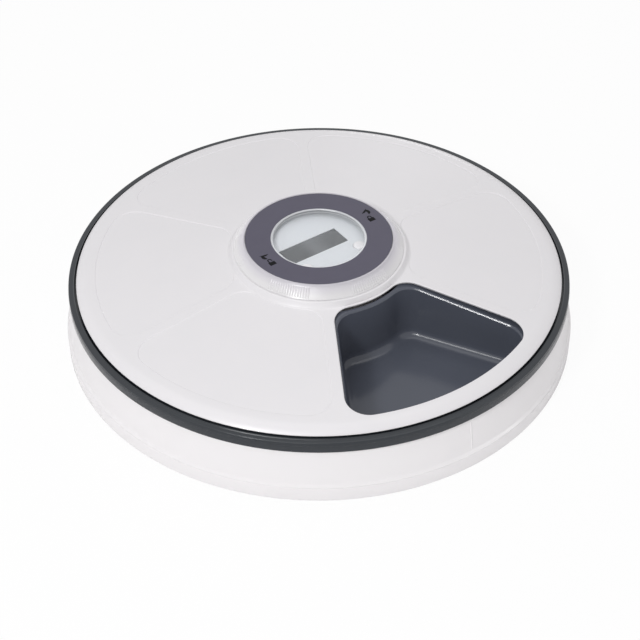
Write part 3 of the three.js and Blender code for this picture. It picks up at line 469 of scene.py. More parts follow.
# %% Bottom cover
base_wall = 2.2 * mm
floor_low = cover_low.z
floor_high = floor_low + base_wall
band_radius = cover_high.x
band_level = floor_low + 9.0 * mm
foot_low, foot_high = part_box("foot_1")
foot_radius = (foot_high.x - foot_low.x) / 2
foot_top = foot_high.z
seat = 0.3 * mm
past = 5 * mm


def middle(node):
    low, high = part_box(node)
    return (Vector(low) + Vector(high)) / 2


def rod(name, radius, bottom, top, x=0.0, y=0.0, vertices=32):
    """A round bar, used as a boss, a peg or a drill."""
    bpy.ops.object.select_all(action="DESELECT")
    bpy.ops.mesh.primitive_cylinder_add(vertices=vertices, radius=radius, depth=top - bottom)
    piece = bpy.context.object
    piece.name = name
    piece.data.transform(Matrix.Translation((x, y, (bottom + top) / 2)))
    return piece


def slab(name, low, high):
    bpy.ops.object.select_all(action="DESELECT")
    bpy.ops.mesh.primitive_cube_add(size=1)
    piece = bpy.context.object
    piece.name = name
    size = Vector(high) - Vector(low)
    piece.data.transform(Matrix.Diagonal((*size, 1)))
    piece.data.transform(Matrix.Translation((Vector(low) + Vector(high)) / 2))
    return piece


band_foot = 0.25 * mm
cover_section = [(0.0, floor_low), (band_radius - 3.4 * mm, floor_low)]
cover_section += [(band_radius - 2.9 * mm, band_foot)]
cover_section += rounded(band_radius, band_foot, 0.4 * mm, lower_outer, 5)
cover_section += rounded(band_radius, band_level, 0.2 * mm, upper_outer)
cover_section += rounded(band_radius - base_wall, band_level, 0.3 * mm, upper_inner, 2)
cover_section += [(band_radius - base_wall, floor_high), (0.0, floor_high)]
bottom_cover = spun("bottom_cover_shell", cover_section, steps=256, closed=False)

door_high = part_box("battery_door")[1]
door_side = door_high.x
door_back = door_high.y
lap = 2.1 * mm
plate_top = floor_low + 1.4 * mm
tab_y = middle("door_screw").y
door_front = -32.5 * mm
neck_side = 4.0 * mm
tab_radius = 5.5 * mm
screw_head_hole = 3.2 * mm
screw_hole = 1.7 * mm
under, over = floor_low - past, floor_high + past
drills = [
    slab("cut", (-door_side - seat, door_front - seat, under),
         (door_side + seat, door_back + seat, plate_top)),
    slab("cut", (-door_side + lap, door_front + lap, under), (door_side - lap, door_back - lap, over)),
    slab("cut", (-neck_side - seat, tab_y, under), (neck_side + seat, door_front, plate_top)),
    rod("cut", tab_radius + seat, under, over, 0, tab_y),
]
for i in range(1, 5):
    foot = middle(f"foot_{i}")
    drills.append(rod("cut", foot_radius + seat, under, foot_top + seat, foot.x, foot.y))
for i in range(1, 7):
    screw = middle(f"cover_screw_{i}")
    drills.append(rod("cut", screw_head_hole, under, over, screw.x, screw.y))
for drill in drills:
    combine(bottom_cover, drill)
smoothed(bottom_cover)
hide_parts("bottom_cover")
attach(bottom_cover, "base")
painted(bottom_cover, base_gloss)
print("bottom cover faces:", len(bottom_cover.data.polygons))

# %% [markdown]
# The base's wall leans in a little as it rises, so that the shell leaves its mould, and behind it
# a deck and a tower carry the drive and the controls. One section holds them all, with a foot that
# flares out to meet the band.

# %% Base shell
wall_foot = base_high.x
wall_lean = 3.9 * mm
wall_bottom = band_level + 0.4 * mm
wall_top = wall_bottom + 25.6 * mm
deck_level = wall_bottom + 2.0 * mm
shoulder = base_high.z - 7.5 * mm
tower_radius = 50.98 * mm
head_radius = tower_radius - 7.0 * mm
head_bore = head_radius - base_wall
head_top = base_high.z
ledge_level = head_top - 2.3 * mm
ledge_bore = head_bore - 2.8 * mm
under_shoulder = shoulder - base_wall

joint_level = band_level + 0.04 * mm
base_section = [(wall_foot - base_wall, joint_level), (band_radius - 0.2 * mm, joint_level)]
base_section += arc(band_radius - 0.85 * mm, joint_level + 0.5 * mm, 0.8 * mm, 0, 40, 5)
base_section += arc(band_radius + 1.38 * mm, joint_level + 3.68 * mm, 2.95 * mm, 220, 188.7, 6)
base_section += rounded(wall_foot - wall_lean, wall_top, 0.5 * mm, upper_outer)
base_section += [
    (wall_foot - wall_lean - base_wall, wall_top),
    (wall_foot - base_wall - 0.3 * mm, deck_level + 1.5 * mm),
    (wall_foot - base_wall - 1.8 * mm, deck_level),
    (tower_radius + 1.5 * mm, deck_level),
    (tower_radius, deck_level + 1.5 * mm),
]
base_section += rounded(tower_radius, shoulder, 0.5 * mm, upper_outer)
base_section += [(head_radius + 0.5 * mm, shoulder), (head_radius, shoulder + 0.5 * mm)]
base_section += rounded(head_radius, head_top, 0.6 * mm, upper_outer)
base_section += [
    (head_bore, head_top),
    (head_bore, ledge_level),
    (ledge_bore, ledge_level),
    (ledge_bore, under_shoulder),
    (tower_radius - base_wall, under_shoulder),
    (tower_radius - base_wall, wall_bottom),
    (wall_foot - base_wall, wall_bottom),
]
base_shell = spun("base_shell_wall", base_section, steps=256)
print("base wall:", round((wall_top - wall_bottom) / mm, 1), "mm high")

# %% [markdown]
# Three lugs round the tower's head hold the cap, two notches take the lid's keys, and through a
# window in the tower the motor's pinion reaches the ring gear. The thin upright bead on the front
# is where two halves of the mould met: a slender rod that leans in with the wall.

# %% Lugs, notches and bead of the base
lug_width = 16 * mm
key_slot_width = 10.8 * mm
gear_low = 14.2 * mm
gear_height = 9.2 * mm
window_width = 30.4 * mm
notch_bore = 48.2 * mm
bead_radius = 0.62 * mm


def ring_stretch(name, bore, radius, bottom, top, angle, width, steps=8):
    """A stretch of a ring, such as a lug, centred on an angle in radians."""
    half = width / radius / 2
    outer = [angle - half + 2 * half * i / steps for i in range(steps + 1)]
    flat = [(radius * math.cos(a), radius * math.sin(a)) for a in outer]
    flat += [(bore * math.cos(a), bore * math.sin(a)) for a in reversed(outer)]
    return extruded_loops(name, [to_loop(flat, bottom), to_loop(flat, top)])


for i in range(3):
    lug = ring_stretch("lug", head_radius - 1 * mm, head_radius + 1.6 * mm, shoulder + 3 * mm,
                       shoulder + 5 * mm, math.pi / 2 + i * math.tau / 3, lug_width)
    combine(base_shell, lug, "UNION")
for angle in (0, math.pi):
    notch = ring_stretch("cut", notch_bore, tower_radius + 4 * mm, shoulder - 1.2 * mm,
                         shoulder + 4 * mm, angle, key_slot_width)
    combine(base_shell, notch)
window = ring_stretch("cut", tower_radius - 6.2 * mm, tower_radius + 4 * mm, gear_low,
                      gear_low + gear_height, math.pi / 2, window_width)
combine(base_shell, window)
mould_line_angle = math.radians(-91.2)
bead = rod("bead", bead_radius, wall_bottom + 3.0 * mm, wall_top - 0.4 * mm, wall_foot - 0.24 * mm)
lean = math.atan(wall_lean / (wall_top - wall_bottom))
pivot = Matrix.Translation((wall_foot, 0, wall_bottom))
bead.data.transform(pivot @ Matrix.Rotation(-lean, 4, "Y") @ pivot.inverted())
bead.data.transform(Matrix.Rotation(mould_line_angle, 4, "Z"))
combine(base_shell, bead, "UNION")
smoothed(base_shell)
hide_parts("base_shell")
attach(base_shell, "base")
painted(base_shell, base_gloss)
print("base shell faces:", len(base_shell.data.polygons))

# %% [markdown]
# The lid is one shallow cone with a collar round its hub. Its border curves down to a thin rounded
# lip, and the skirt under it is set well back, so that a dark gap shows over the tray's rim. Two
# keys inside the hub drop into the notches of the tower.

# %% Lid shell
hub_bore = 48.58 * mm
hub_bottom = lid_low.z
hub_wall_bottom = shoulder + 0.3 * mm
edge_bottom = 40.9 * mm
collar_radius = cone_inner - 2.0 * mm
rim_round = 0.4 * mm
lid_edge = lid_radius - 0.12 * mm
steep = 90 - math.degrees(math.atan(cone_slope))
border_x = cone_outer - border_curve * math.cos(math.radians(steep))
border_z = cone_edge_level - border_curve * math.sin(math.radians(steep))
reach = border_curve - rim_round
drop = math.acos((lid_edge - rim_round - border_x) / reach)
drop_degrees = math.degrees(drop)
under_curve = border_curve - lid_thickness
skirt_radius = lid_radius - 3.4 * mm
skirt_bore = skirt_radius - lid_thickness
skirt_turn = math.degrees(math.acos((skirt_bore - border_x) / under_curve))
skirt_root = border_z + math.sqrt(under_curve ** 2 - (skirt_radius - border_x) ** 2)
lid_section = [(skirt_radius, edge_bottom), (skirt_radius, skirt_root)]
lid_section += arc(border_x, border_z, under_curve, drop_degrees + 8, drop_degrees, 2)
lid_section += arc(border_x + reach * math.cos(drop), border_z + reach * math.sin(drop),
                   rim_round, -60, drop_degrees, 6)
lid_section += arc(border_x, border_z, border_curve, drop_degrees, steep, 14)[1:]
on_cone = (cone_outer - 1.5 * mm, cone_inner + 2.5 * mm, cone_inner + 0.9 * mm)
lid_section += [(radius, cone_level(radius)) for radius in on_cone]
lid_section += [(cone_inner + 0.25 * mm, cone_level(cone_inner) + 0.15 * mm)]
lid_section += [(cone_inner - 0.25 * mm, cone_level(cone_inner) + 0.6 * mm)]
lid_section += arc(collar_radius - 0.5 * mm, collar_top - 0.9 * mm, 0.9 * mm, 20, 90, 5)
lid_section += rounded(hub_bore, collar_top, 0.4 * mm, upper_inner)
lid_section += [
    (hub_bore, hub_wall_bottom),
    (hub_bore + lid_thickness, hub_wall_bottom),
    (hub_bore + lid_thickness, collar_top - lid_thickness),
    (collar_radius - lid_thickness, collar_top - lid_thickness),
    (collar_radius, cone_level(collar_radius, lid_thickness)),
]
lid_section += arc(border_x, border_z, under_curve, steep, skirt_turn, 3)
lid_section += [(skirt_bore, edge_bottom)]
lid = spun("lid_shell", lid_section, steps=360)

key_width = 8 * mm
for angle in (0, math.pi):
    key = ring_stretch("key", hub_bore, hub_bore + lid_thickness, hub_bottom,
                       hub_wall_bottom + 1 * mm, angle, key_width)
    combine(lid, key, "UNION")
print("lid lip at", round(lid_edge / mm, 2), "mm from the middle")

# %% [markdown]
# The opening and the five shallow panels are cut with shaped solids whose sides flare near the
# lid's surface, so that every cut edge is left with a soft bevel. A panel's floor follows the cone:
# its cutter is trimmed by a skin that lies the panel's depth under the lid's face.

# %% Opening and panels of the lid
bevel = 0.45 * mm
panel_depth = 0.45 * mm
panel_outer = opening_outer - 2.3 * mm
cut_low = edge_bottom - 3 * mm
cut_high = collar_top + 10 * mm


def flared_cutter(profile, outer):
    """Loops of a cutter: each row of its profile gives how far it grows, and how deep it is."""
    wide = [meal_outline(grow=grow, outer=outer) for grow, below in profile]
    loops = [to_loop(flat, lambda radius, below=below: cone_level(radius, below))
             for flat, (grow, below) in zip(wide, profile)]
    return [to_loop(wide[0], cut_low)] + loops + [to_loop(wide[-1], cut_high)]


opening_profile = [(1.1 * mm, 2.4 * mm), (0.25 * mm, 1.2 * mm), (0.0, bevel),
                   (0.12 * mm, bevel * 0.45), (bevel, 0.0), (bevel + 0.6 * mm, -0.2 * mm)]
panel_profile = [(-0.4 * mm, panel_depth + 0.03 * mm), (-0.15 * mm, panel_depth * 0.85),
                 (0.15 * mm, panel_depth * 0.15), (0.4 * mm, -0.02 * mm), (0.5 * mm, -0.3 * mm)]
combine(lid, extruded_loops("cut", at_meal(0, flared_cutter(opening_profile, opening_outer))))
skin_inner, skin_outer, skin_top = opening_inner - 4 * mm, lid_radius + past, collar_top + past
panel_skin = spun("panel_skin", [
    (skin_inner, cone_level(skin_inner, panel_depth)),
    (skin_outer, cone_level(skin_outer, panel_depth)),
    (skin_outer, skin_top),
    (skin_inner, skin_top),
], steps=360)
for index in range(1, meals):
    cutter = extruded_loops("cut", at_meal(index, flared_cutter(panel_profile, panel_outer)))
    combine(cutter, turned_copy(panel_skin, 0.0), "INTERSECT")
    combine(lid, cutter)
bpy.data.objects.remove(panel_skin)


def evened(piece, degrees):
    """Smooth shading in which the large faces rule, so that a cut leaves no shadow on them."""
    smoothed(piece, degrees)
    bpy.ops.object.modifier_add(type="WEIGHTED_NORMAL")
    step = piece.modifiers[-1]
    step.weight = 100
    step.keep_sharp = True
    bpy.ops.object.modifier_apply(modifier=step.name)


evened(lid, 40)
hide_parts("lid")
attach(lid, "lid")
painted(lid, white_gloss)
print("lid faces:", len(lid.data.polygons))

# %% [markdown]
# The food tray is a turned body with a rim that overhangs the base's wall. The rim has a fine
# crease inside its top edge, and its outer face stands a little further out below than above. A
# web round the tray's bore carries it on the ring gear that turns it.

# %% Body of the food tray
tray_bottom = tray_low.z
tray_floor_top = tray_bottom + 2.0 * mm
ring_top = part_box("drive_ring")[1].z - 4.0 * mm
web_low = ring_top + 0.3 * mm
flange_low = wall_top + 2.4 * mm
flange_high = flange_low + 2.0 * mm
lip_radius = tray_high.x - 0.7 * mm
lip_bore = wall_foot - wall_lean + 0.8 * mm
rim_radius = tray_high.x - 1.2 * mm
rim_bore = rim_radius - 3.4 * mm
rim_level = flange_high + 2.9 * mm
tray_head = 53.9 * mm
tray_slope = 0.125
outer_top = tray_body_radius
inner_head = 58.15 * mm
inner_lean = 2.8 * mm
inner_foot = inner_head + inner_lean


def tray_level(radius, below=0.0):
    return tray_head - (radius - inner_head) * tray_slope - below


outer_foot = outer_top - 2.7 * mm
tray_section = [(inner_foot, tray_bottom)]
tray_section += [(outer_foot - 1 * mm, tray_bottom), (outer_foot, tray_bottom + 1 * mm)]
tray_section += [(outer_top, flange_low), (lip_bore, flange_low), (lip_bore, flange_low - 2.6 * mm)]
tray_section += arc(lip_radius - 0.4 * mm, flange_low - 2.2 * mm, 0.4 * mm, -90, 5, 4)
tray_section += arc(lip_radius - 0.3 * mm, rim_level - 2.4 * mm, 0.3 * mm, -50, 50, 5)
tray_section += arc(rim_radius - 0.3 * mm, rim_level - 0.95 * mm, 0.65 * mm, 10, 82, 6)
# How far out from the rim's bore each point of the crease stands, and how far below its top, in mm.
crease = ((0.9, 0.55), (0.8, 0.54), (0.72, 0.48), (0.3, 0.05), (0.2, 0.0))
tray_section += [(rim_bore + out * mm, rim_level - below * mm) for out, below in crease]
tray_section += rounded(rim_bore, rim_level, 0.1 * mm, upper_inner)
tray_section += [(rim_bore, flange_high), (outer_top, flange_high)]
tray_section += [(outer_top, tray_level(outer_top)), (inner_head, tray_level(inner_head))]
web_share = (web_low - tray_bottom) / (tray_level(inner_head) - tray_bottom)
web_root = inner_foot - web_share * inner_lean
web_bore = tower_radius + 2.5 * mm
web_high = web_low + 2 * mm
tray_section += [(web_root, web_high), (web_bore, web_high), (web_bore, web_low), (web_root, web_low)]
tray = spun("tray_body", tray_section, steps=288)
print("tray body faces:", len(tray.data.polygons))

# %% [markdown]
# Six compartments are cut into the tray with one solid, copied round. A compartment's walls lean
# out as they rise, and its floor runs up into them in a wide round. The lip at its top is a narrow
# flat bevel with soft edges, which is where the light catches it. Three holes in the web take the
# dogs of the ring gear.

# %% Compartments of the tray
pocket_top = tray_head + 4 * mm
pocket_fillet = 6.0 * mm
fillet_steps = 6
outer_lean = 2.5 * mm
side_lean = 1.2 * mm
wall_level = 34 * mm
lip_level = 45 * mm
lip_spread = 1.5 * mm
wall_gap = 1.5 * mm
outer_gap = 1.4 * mm


def pocket_outline(level, inset, spread=0.0):
    """A compartment's outline at a level, drawn in by inset at its floor, or out by spread."""
    share = (pocket_top - level) / (pocket_top - tray_floor_top)
    grow = spread - inset
    return meal_outline(
        inner=inner_head + wall_gap + share * inner_lean - grow,
        outer=opening_outer + outer_gap - share * outer_lean + grow,
        side=opening_side + wall_gap + share * side_lean - grow,
        round_inner=opening_corner_inner + grow,
        round_outer=opening_corner_outer + grow,
    )


# How far out from the wall each point of the lip stands, and how deep under the tray's top, in mm.
lip_points = ((0.0, 1.3), (0.05, 1.04), (0.15, 0.88), (0.22, 0.805), (0.64, 0.355), (0.71, 0.28),
              (0.86, 0.14), (1.1, 0.03))


def at_lip(below, spread):
    """A loop at a depth under the tray's sloping top, wider by spread."""
    narrow, wide = pocket_outline(lip_level, 0.0), pocket_outline(lip_level, 0.0, spread)
    return [Vector((*there, tray_level(math.hypot(*here), below))) for here, there in zip(narrow, wide)]


pocket_loops = []
for i in range(fillet_steps + 1):
    angle = i / fillet_steps * math.pi / 2
    level = tray_floor_top + pocket_fillet * (1 - math.cos(angle))
    pocket_loops.append(to_loop(pocket_outline(level, pocket_fillet * (1 - math.sin(angle))), level))
pocket_loops.append(to_loop(pocket_outline(wall_level, 0.0), wall_level))
for out, below in lip_points:
    pocket_loops.append(at_lip(below * mm, out * mm))
pocket_loops.append(at_lip(-0.4 * mm, lip_spread))
pocket_loops.append(to_loop(pocket_outline(lip_level, 0.0, lip_spread), tray_head + 6 * mm))
pocket = extruded_loops("pocket", pocket_loops)
for index in range(meals):
    combine(tray, turned_copy(pocket, meal_angle(index)))
bpy.data.objects.remove(pocket)
dog_bore = 55.65 * mm
dog_radius = 59.25 * mm
dog_width = 10.8 * mm
for dog in range(3):
    hole = ring_stretch("cut", dog_bore, dog_radius, web_low - 3 * mm, web_low + 5 * mm,
                        math.radians(-30 + 120 * dog), dog_width)
    combine(tray, hole)
smoothed(tray, 38)
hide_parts("food_tray")
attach(tray, "tray")
painted(tray, tray_satin)
print("tray faces:", len(tray.data.polygons))

# %% [markdown]
# The cap is clear plastic: a sloping skirt with groups of fine grips, a flat top with a round
# window edge, and a sleeve that goes down into the lid. It is spun in many steps, so that the
# skirt has points enough for the grips.

# %% Clear cap
cap_radius = cap_high.x
cap_foot = collar_top + 0.3 * mm
cap_top = cap_high.z
cap_slope = 5.7 * mm
cap_rim = cap_radius - cap_slope
cap_wall = 2.0 * mm
cap_round = 0.55 * mm
window_depth = 0.6 * mm
skirt_rise = cap_top - 0.5 * mm - cap_foot
label_bore = label_high.x - 16.5 * mm
label_outer = label_high.x - 0.45 * mm
label_depth = 0.3 * mm
label_gap = 0.2 * mm
sleeve_bore = head_radius + 2.0 * mm
sleeve_radius = sleeve_bore + cap_wall
sleeve_bottom = cap_low.z
plate_bottom = cap_top - 2.5 * mm
window_edge = label_bore - label_gap - 0.9 * mm
grip_turns = 600
steps_per_grip = 3
grip_height = 0.45 * mm


def on_skirt(share):
    """A point of the skirt, from its foot at 0 to its top at 1."""
    return (cap_radius - cap_slope * share, cap_foot + skirt_rise * share)


inner_share = (cap_radius - cap_wall - sleeve_radius) / cap_slope
cap_section = [on_skirt(0.0), on_skirt(0.10), on_skirt(0.16), on_skirt(0.82), on_skirt(0.9)]
cap_section += arc(cap_rim - cap_round, cap_top - cap_round, cap_round, 25, 90, 5)
cap_section += [
    (label_outer + label_gap, cap_top),
    (label_outer + label_gap, cap_top - label_depth),
    (label_bore - label_gap, cap_top - label_depth),
    (label_bore - label_gap, cap_top - 0.1 * mm),
    (label_bore - label_gap - 0.1 * mm, cap_top),
    (window_edge + 0.5 * mm, cap_top - 0.05 * mm),
    (window_edge, cap_top - window_depth),
    (0.0, cap_top - window_depth),
]
cap_under = [
    (0.0, plate_bottom), (sleeve_bore, plate_bottom), (sleeve_bore, sleeve_bottom),
    (sleeve_radius, sleeve_bottom), (sleeve_radius, cap_foot + skirt_rise * inner_share),
    (cap_radius - cap_wall, cap_foot), (cap_radius, cap_foot),
]
clear_cap = spun("clear_cap_shell", cap_section + cap_under, steps=grip_turns, closed=False)
print("cap", round(cap_radius / mm, 1), "mm in radius")

# %% [markdown]
# The grips stand in six groups, one for each meal. A group's grips are single steps of the spin
# whose points are pulled out a little, with two flat steps between them.

# %% Grips and lugs of the cap
grip_low = on_skirt(0.14)[1]
grip_high = on_skirt(0.84)[1]
step_angle = math.tau / grip_turns
pitch = step_angle * steps_per_grip
grips_each_side = 8
grip_shift = math.radians(3.6)
for vertex in clear_cap.data.vertices:
    radius = math.hypot(vertex.co.x, vertex.co.y)
    outside = radius > cap_rim + 0.2 * mm
    if outside and grip_low < vertex.co.z < grip_high:
        angle = math.atan2(vertex.co.y, vertex.co.x) - meal_angle(0) - grip_shift
        to_group = (angle + math.pi / meals) % (math.tau / meals) - math.pi / meals
        step = round((to_group % pitch) / step_angle) % steps_per_grip
        if abs(to_group) < (grips_each_side + 0.1) * pitch and step == 0:
            vertex.co.x *= 1 + grip_height / radius
            vertex.co.y *= 1 + grip_height / radius
for i in range(3):
    lug = ring_stretch("lug", head_radius + 0.4 * mm, sleeve_bore + 1 * mm, sleeve_bottom,
                       sleeve_bottom + 1.5 * mm, math.radians(125 + 120 * i), lug_width)
    combine(clear_cap, lug, "UNION")
smoothed(clear_cap, 25)
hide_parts("clear_cap")
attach(clear_cap, "cap")
print("cap faces:", len(clear_cap.data.polygons))

# %% [markdown]
# Through the window the clear plastic all but disappears, and at a flat angle it shines. The
# skirt is harder to see through: there the light crosses it at a slant, and it looks like ice.
# One mask on the distance from the middle makes the difference. Down the skirt the colour is
# painted shade: darker lavender grey near its top and whiter towards its foot.

# %% Finish of the cap
clear = Finish("clear_plastic", linear(232, 232, 235), 0.08)
distance = clear.radius()
skirt_share = distance.between(label_outer + 0.1 * mm, label_outer + 0.6 * mm)
edge_share = distance.between(window_edge - 0.5 * mm, window_edge) * (
    1 - distance.between(label_bore, label_bore + 0.4 * mm))
facing = clear.node("ShaderNodeLayerWeight", {}, {"Blend": 0.5}, output="Facing")
glancing = facing * facing * facing
clear.set("Alpha", 0.03 + glancing * 0.8 + skirt_share * 0.68 + edge_share * 0.6)
# Painted shade: the skirt is darker lavender grey near its top and whiter towards its foot.
down_skirt = distance.between(cap_rim - 0.5 * mm, cap_radius - 1.6 * mm)
painted_skirt_shade = clear.mix(down_skirt, linear(226, 223, 231), linear(247, 246, 247))
clear.set("Base Color", clear.mix(skirt_share, linear(240, 243, 246), painted_skirt_shade))
clear.set("Roughness", 0.05 + skirt_share * 0.16 + clear.noise(60, 3.0) * 0.05)
clear.grained(30, 2.0, 0.2 * mm)
painted(clear_cap, clear)
print("clear cap finished")

# %% [markdown]
# The printed ring is a thin disc let into the cap. Its print is a dull purple grey, and the ink of
# its two marks is nearly black.

# %% Printed ring and ink
ring_level = cap_top - 0.08 * mm
print_level = cap_top - 0.03 * mm
label_section = [
    (label_bore, cap_top - label_depth),
    (label_outer, cap_top - label_depth),
    (label_outer, ring_level),
    (label_bore, ring_level),
]
label = spun("label_disc", label_section, steps=240)
purple_grey = Finish("label_print", linear(71, 68, 85), 0.42)
purple_grey.mottled(90, 4.0, linear(68, 65, 82), linear(74, 71, 89))
purple_grey.worn(0.38, 0.1, 50)
purple_grey.grained(2500, 2.0, 0.006 * mm)
ink = Finish("mark_ink", linear(9, 9, 12), 0.6, Specular_IOR_Level=0.12)
ink.worn(0.55, 0.15, 300, 2.0)
ink.mottled(500, 2.0, linear(7, 7, 9), linear(13, 13, 16))
print("label disc faces:", len(label.data.polygons))

# %% [markdown]
# Each of the two marks is a small hooked arrow and a padlock, open on one side and shut on the
# other. Each is drawn as a flat outline, point by point round its arcs, and pulled up into a plate
# as thin as a print that stands a hair above the ring.

# %% Arrows and padlocks
def mark_plate(flat):
    """A thin print from a flat outline."""
    return extruded_loops("mark", [to_loop(flat, ring_level - 0.05 * mm), to_loop(flat, print_level)])


def hooked_arrow(centre, radius, start, end, width, head):
    """A short thick arrow bent round a centre, from one angle to another, its head at the end."""
    steps = 10
    head_long = 1.2
    way = 1 if end > start else -1
    turns = [math.radians(start + (end - start) * i / steps) for i in range(steps + 1)]
    last = turns[-1]
    tip = last + way * head * head_long / radius

    def at(angle, out):
        reach = radius + out
        return (centre[0] + reach * math.cos(angle), centre[1] + reach * math.sin(angle))

    halves = [width / 2 * min(1, 0.35 + i / 6) for i in range(steps + 1)]
    outside = [at(a, half) for a, half in zip(turns, halves)]
    inside = [at(a, -half) for a, half in zip(turns, halves)]
    return mark_plate(outside + [at(last, head / 2), at(tip, 0), at(last, -head / 2)] + inside[::-1])


def padlock(centre, size, lifted):
    """A padlock: a block, and a shackle that is lifted off on one side when it is open."""
    half, tall = size * 0.5, size * 0.72
    body = [(-half, -tall / 2), (half, -tall / 2), (half, tall / 2), (-half, tall / 2)]
    bar = size * 0.17
    reach = size * 0.34
    rise = size * 0.4 if lifted else size * 0.26
    sunk = tall / 2 - size * 0.02
    foot = tall / 2 + size * 0.2 if lifted else sunk
    outline = [(reach, foot)] + arc(0, tall / 2 + rise, reach, 0, 180, 12)
    outline += [(-reach, sunk), (-reach + bar, sunk)]
    outline += arc(0, tall / 2 + rise, reach - bar, 180, 0, 12) + [(reach - bar, foot)]
    return [mark_plate([(centre[0] + x, centre[1] + y) for x, y in flat]) for flat in (body, outline)]


arrow_radius = 2.5 * mm
arrow_width = 2.0 * mm
arrow_head = 4.3 * mm
padlock_size = 4.4 * mm
marks = [hooked_arrow((-37.3 * mm, 3.0 * mm), arrow_radius, 245, 150, arrow_width, arrow_head)]
marks += padlock((-38.2 * mm, -5.0 * mm), padlock_size, lifted=True)
marks += [hooked_arrow((38.9 * mm, 3.7 * mm), arrow_radius, -60, 50, arrow_width, arrow_head)]
marks += padlock((38.3 * mm, -4.2 * mm), padlock_size, lifted=False)
for mark in marks:
    painted(mark, ink)
painted(label, purple_grey)
label = joined([label] + marks)
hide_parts("label_ring")
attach(label, "cap")
print("ring and marks:", len(label.data.polygons), "faces")

# %% [markdown]
# Under the cap sits a pale round panel with holes for the display's lens and for four buttons. On
# its underside three posts carry the board's screws.

# %% Control panel
panel_radius = head_bore - 0.3 * mm
panel_under = panel_high.z - 2.0 * mm
lens_low, lens_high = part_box("lcd_lens")
panel_section = [(0.0, panel_under), (panel_radius, panel_under)]
panel_section += rounded(panel_radius, panel_high.z, 0.5 * mm, upper_outer, 4)
panel_section += [(0.0, panel_high.z)]
panel = spun("panel_plate", panel_section, steps=160, closed=False)
combine(panel, slab("cut", (lens_low.x - seat, lens_low.y - seat, panel_under - past),
                    (lens_high.x + seat, lens_high.y + seat, panel_high.z + past)))
button_radius = 4.0 * mm
for i in range(1, 5):
    spot = middle(f"button_{i}")
    combine(panel, rod("cut", button_radius + seat, panel_under - past, panel_high.z + past,
                       spot.x, spot.y, 64))
board_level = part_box("control_board")[1].z + 0.3 * mm
for i in range(1, 4):
    spot = middle(f"board_screw_{i}")
    post = rod("post", 2.6 * mm, board_level, panel_under + 1 * mm, spot.x, spot.y)
    combine(panel, post, "UNION")
    combine(panel, rod("cut", screw_hole, board_level - 2 * mm, panel_under + 0.3 * mm, spot.x, spot.y))
smoothed(panel)
pale_face = Finish("panel_face", linear(228, 232, 236), 0.38)
pale_face.mottled(30, 3.0, linear(225, 230, 235), linear(231, 235, 238))
pale_face.worn(0.34, 0.1, 60)
pale_face.grained(1500, 2.0, 0.01 * mm)
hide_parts("control_panel")
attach(panel, "base")
painted(panel, pale_face)
print("panel faces:", len(panel.data.polygons))

# %% [markdown]
# The display's lens is a blank grey pane. A painted reflection runs across it: a soft paler band,
# drawn in its colour as two ramps that meet. The buttons are low domes, and a flange at the foot of
# each keeps it under the panel.

# %% Display and buttons
def pane(name, low, high, edge):
    """A slab with all its edges bevelled."""
    piece = slab(name, low, high)
    only(piece)
    bpy.ops.object.mode_set(mode="EDIT")
    bpy.ops.mesh.select_all(action="SELECT")
    bpy.ops.mesh.bevel(offset=edge, segments=3)
    bpy.ops.object.mode_set(mode="OBJECT")
    smoothed(piece, 40)
    return piece


lens = pane("display_lens", lens_low, lens_high, 0.3 * mm)
display = Finish("display", linear(90, 96, 99), 0.12)
across_lens = display.node("ShaderNodeSeparateXYZ", {}, [display.place()], output="X")
lens_middle = (lens_low.x + lens_high.x) / 2
# A painted reflection: a soft paler band across the lens, over a random drift of tone.
painted_reflection_band = across_lens.between(lens_middle - 8 * mm, lens_middle - 1 * mm) * (
    1 - across_lens.between(lens_middle + 2 * mm, lens_middle + 12 * mm))
painted_reflection_and_tone = painted_reflection_band * 0.8 + display.noise(80, 3.0) * 0.25
display.set("Base Color", display.mix(painted_reflection_and_tone, linear(50, 55, 58), linear(97, 101, 105)))
display.worn(0.1, 0.05, 120)
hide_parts("lcd_lens")
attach(lens, "base")
painted(lens, display)

button_white = Finish("button_white", linear(248, 247, 248), 0.3)
button_white.worn(0.26, 0.1, 300)
button_white.mottled(180, 3.0, linear(246, 245, 247), linear(250, 249, 250))
button_flange = button_radius + 1 * mm
flange_top = panel_under - 0.3 * mm
for i in range(1, 5):
    low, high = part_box(f"button_{i}")
    spot = middle(f"button_{i}")
    section = [(0.0, low.z), (button_flange, low.z), (button_flange, flange_top)]
    section += [(button_radius, flange_top)]
    section += arc(button_radius - 0.6 * mm, high.z - 0.75 * mm, 0.6 * mm, 0, 75, 5)
    section += [(button_radius * 0.45, high.z - 0.04 * mm), (0.0, high.z)]
    button = spun(f"button_cap_{i}", section, steps=64, closed=False)
    button.data.transform(Matrix.Translation((spot.x, spot.y, 0)))
    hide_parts(f"button_{i}")
    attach(button, f"button_{i}")
    painted(button, button_white)
print("display and buttons:", len(lens.data.polygons), "faces on the lens")

# %% [markdown]
# Four rubber feet carry the feeder. Each is a short round block with a soft lower edge, and its
# rubber is nearly black, dull and a little grainy.

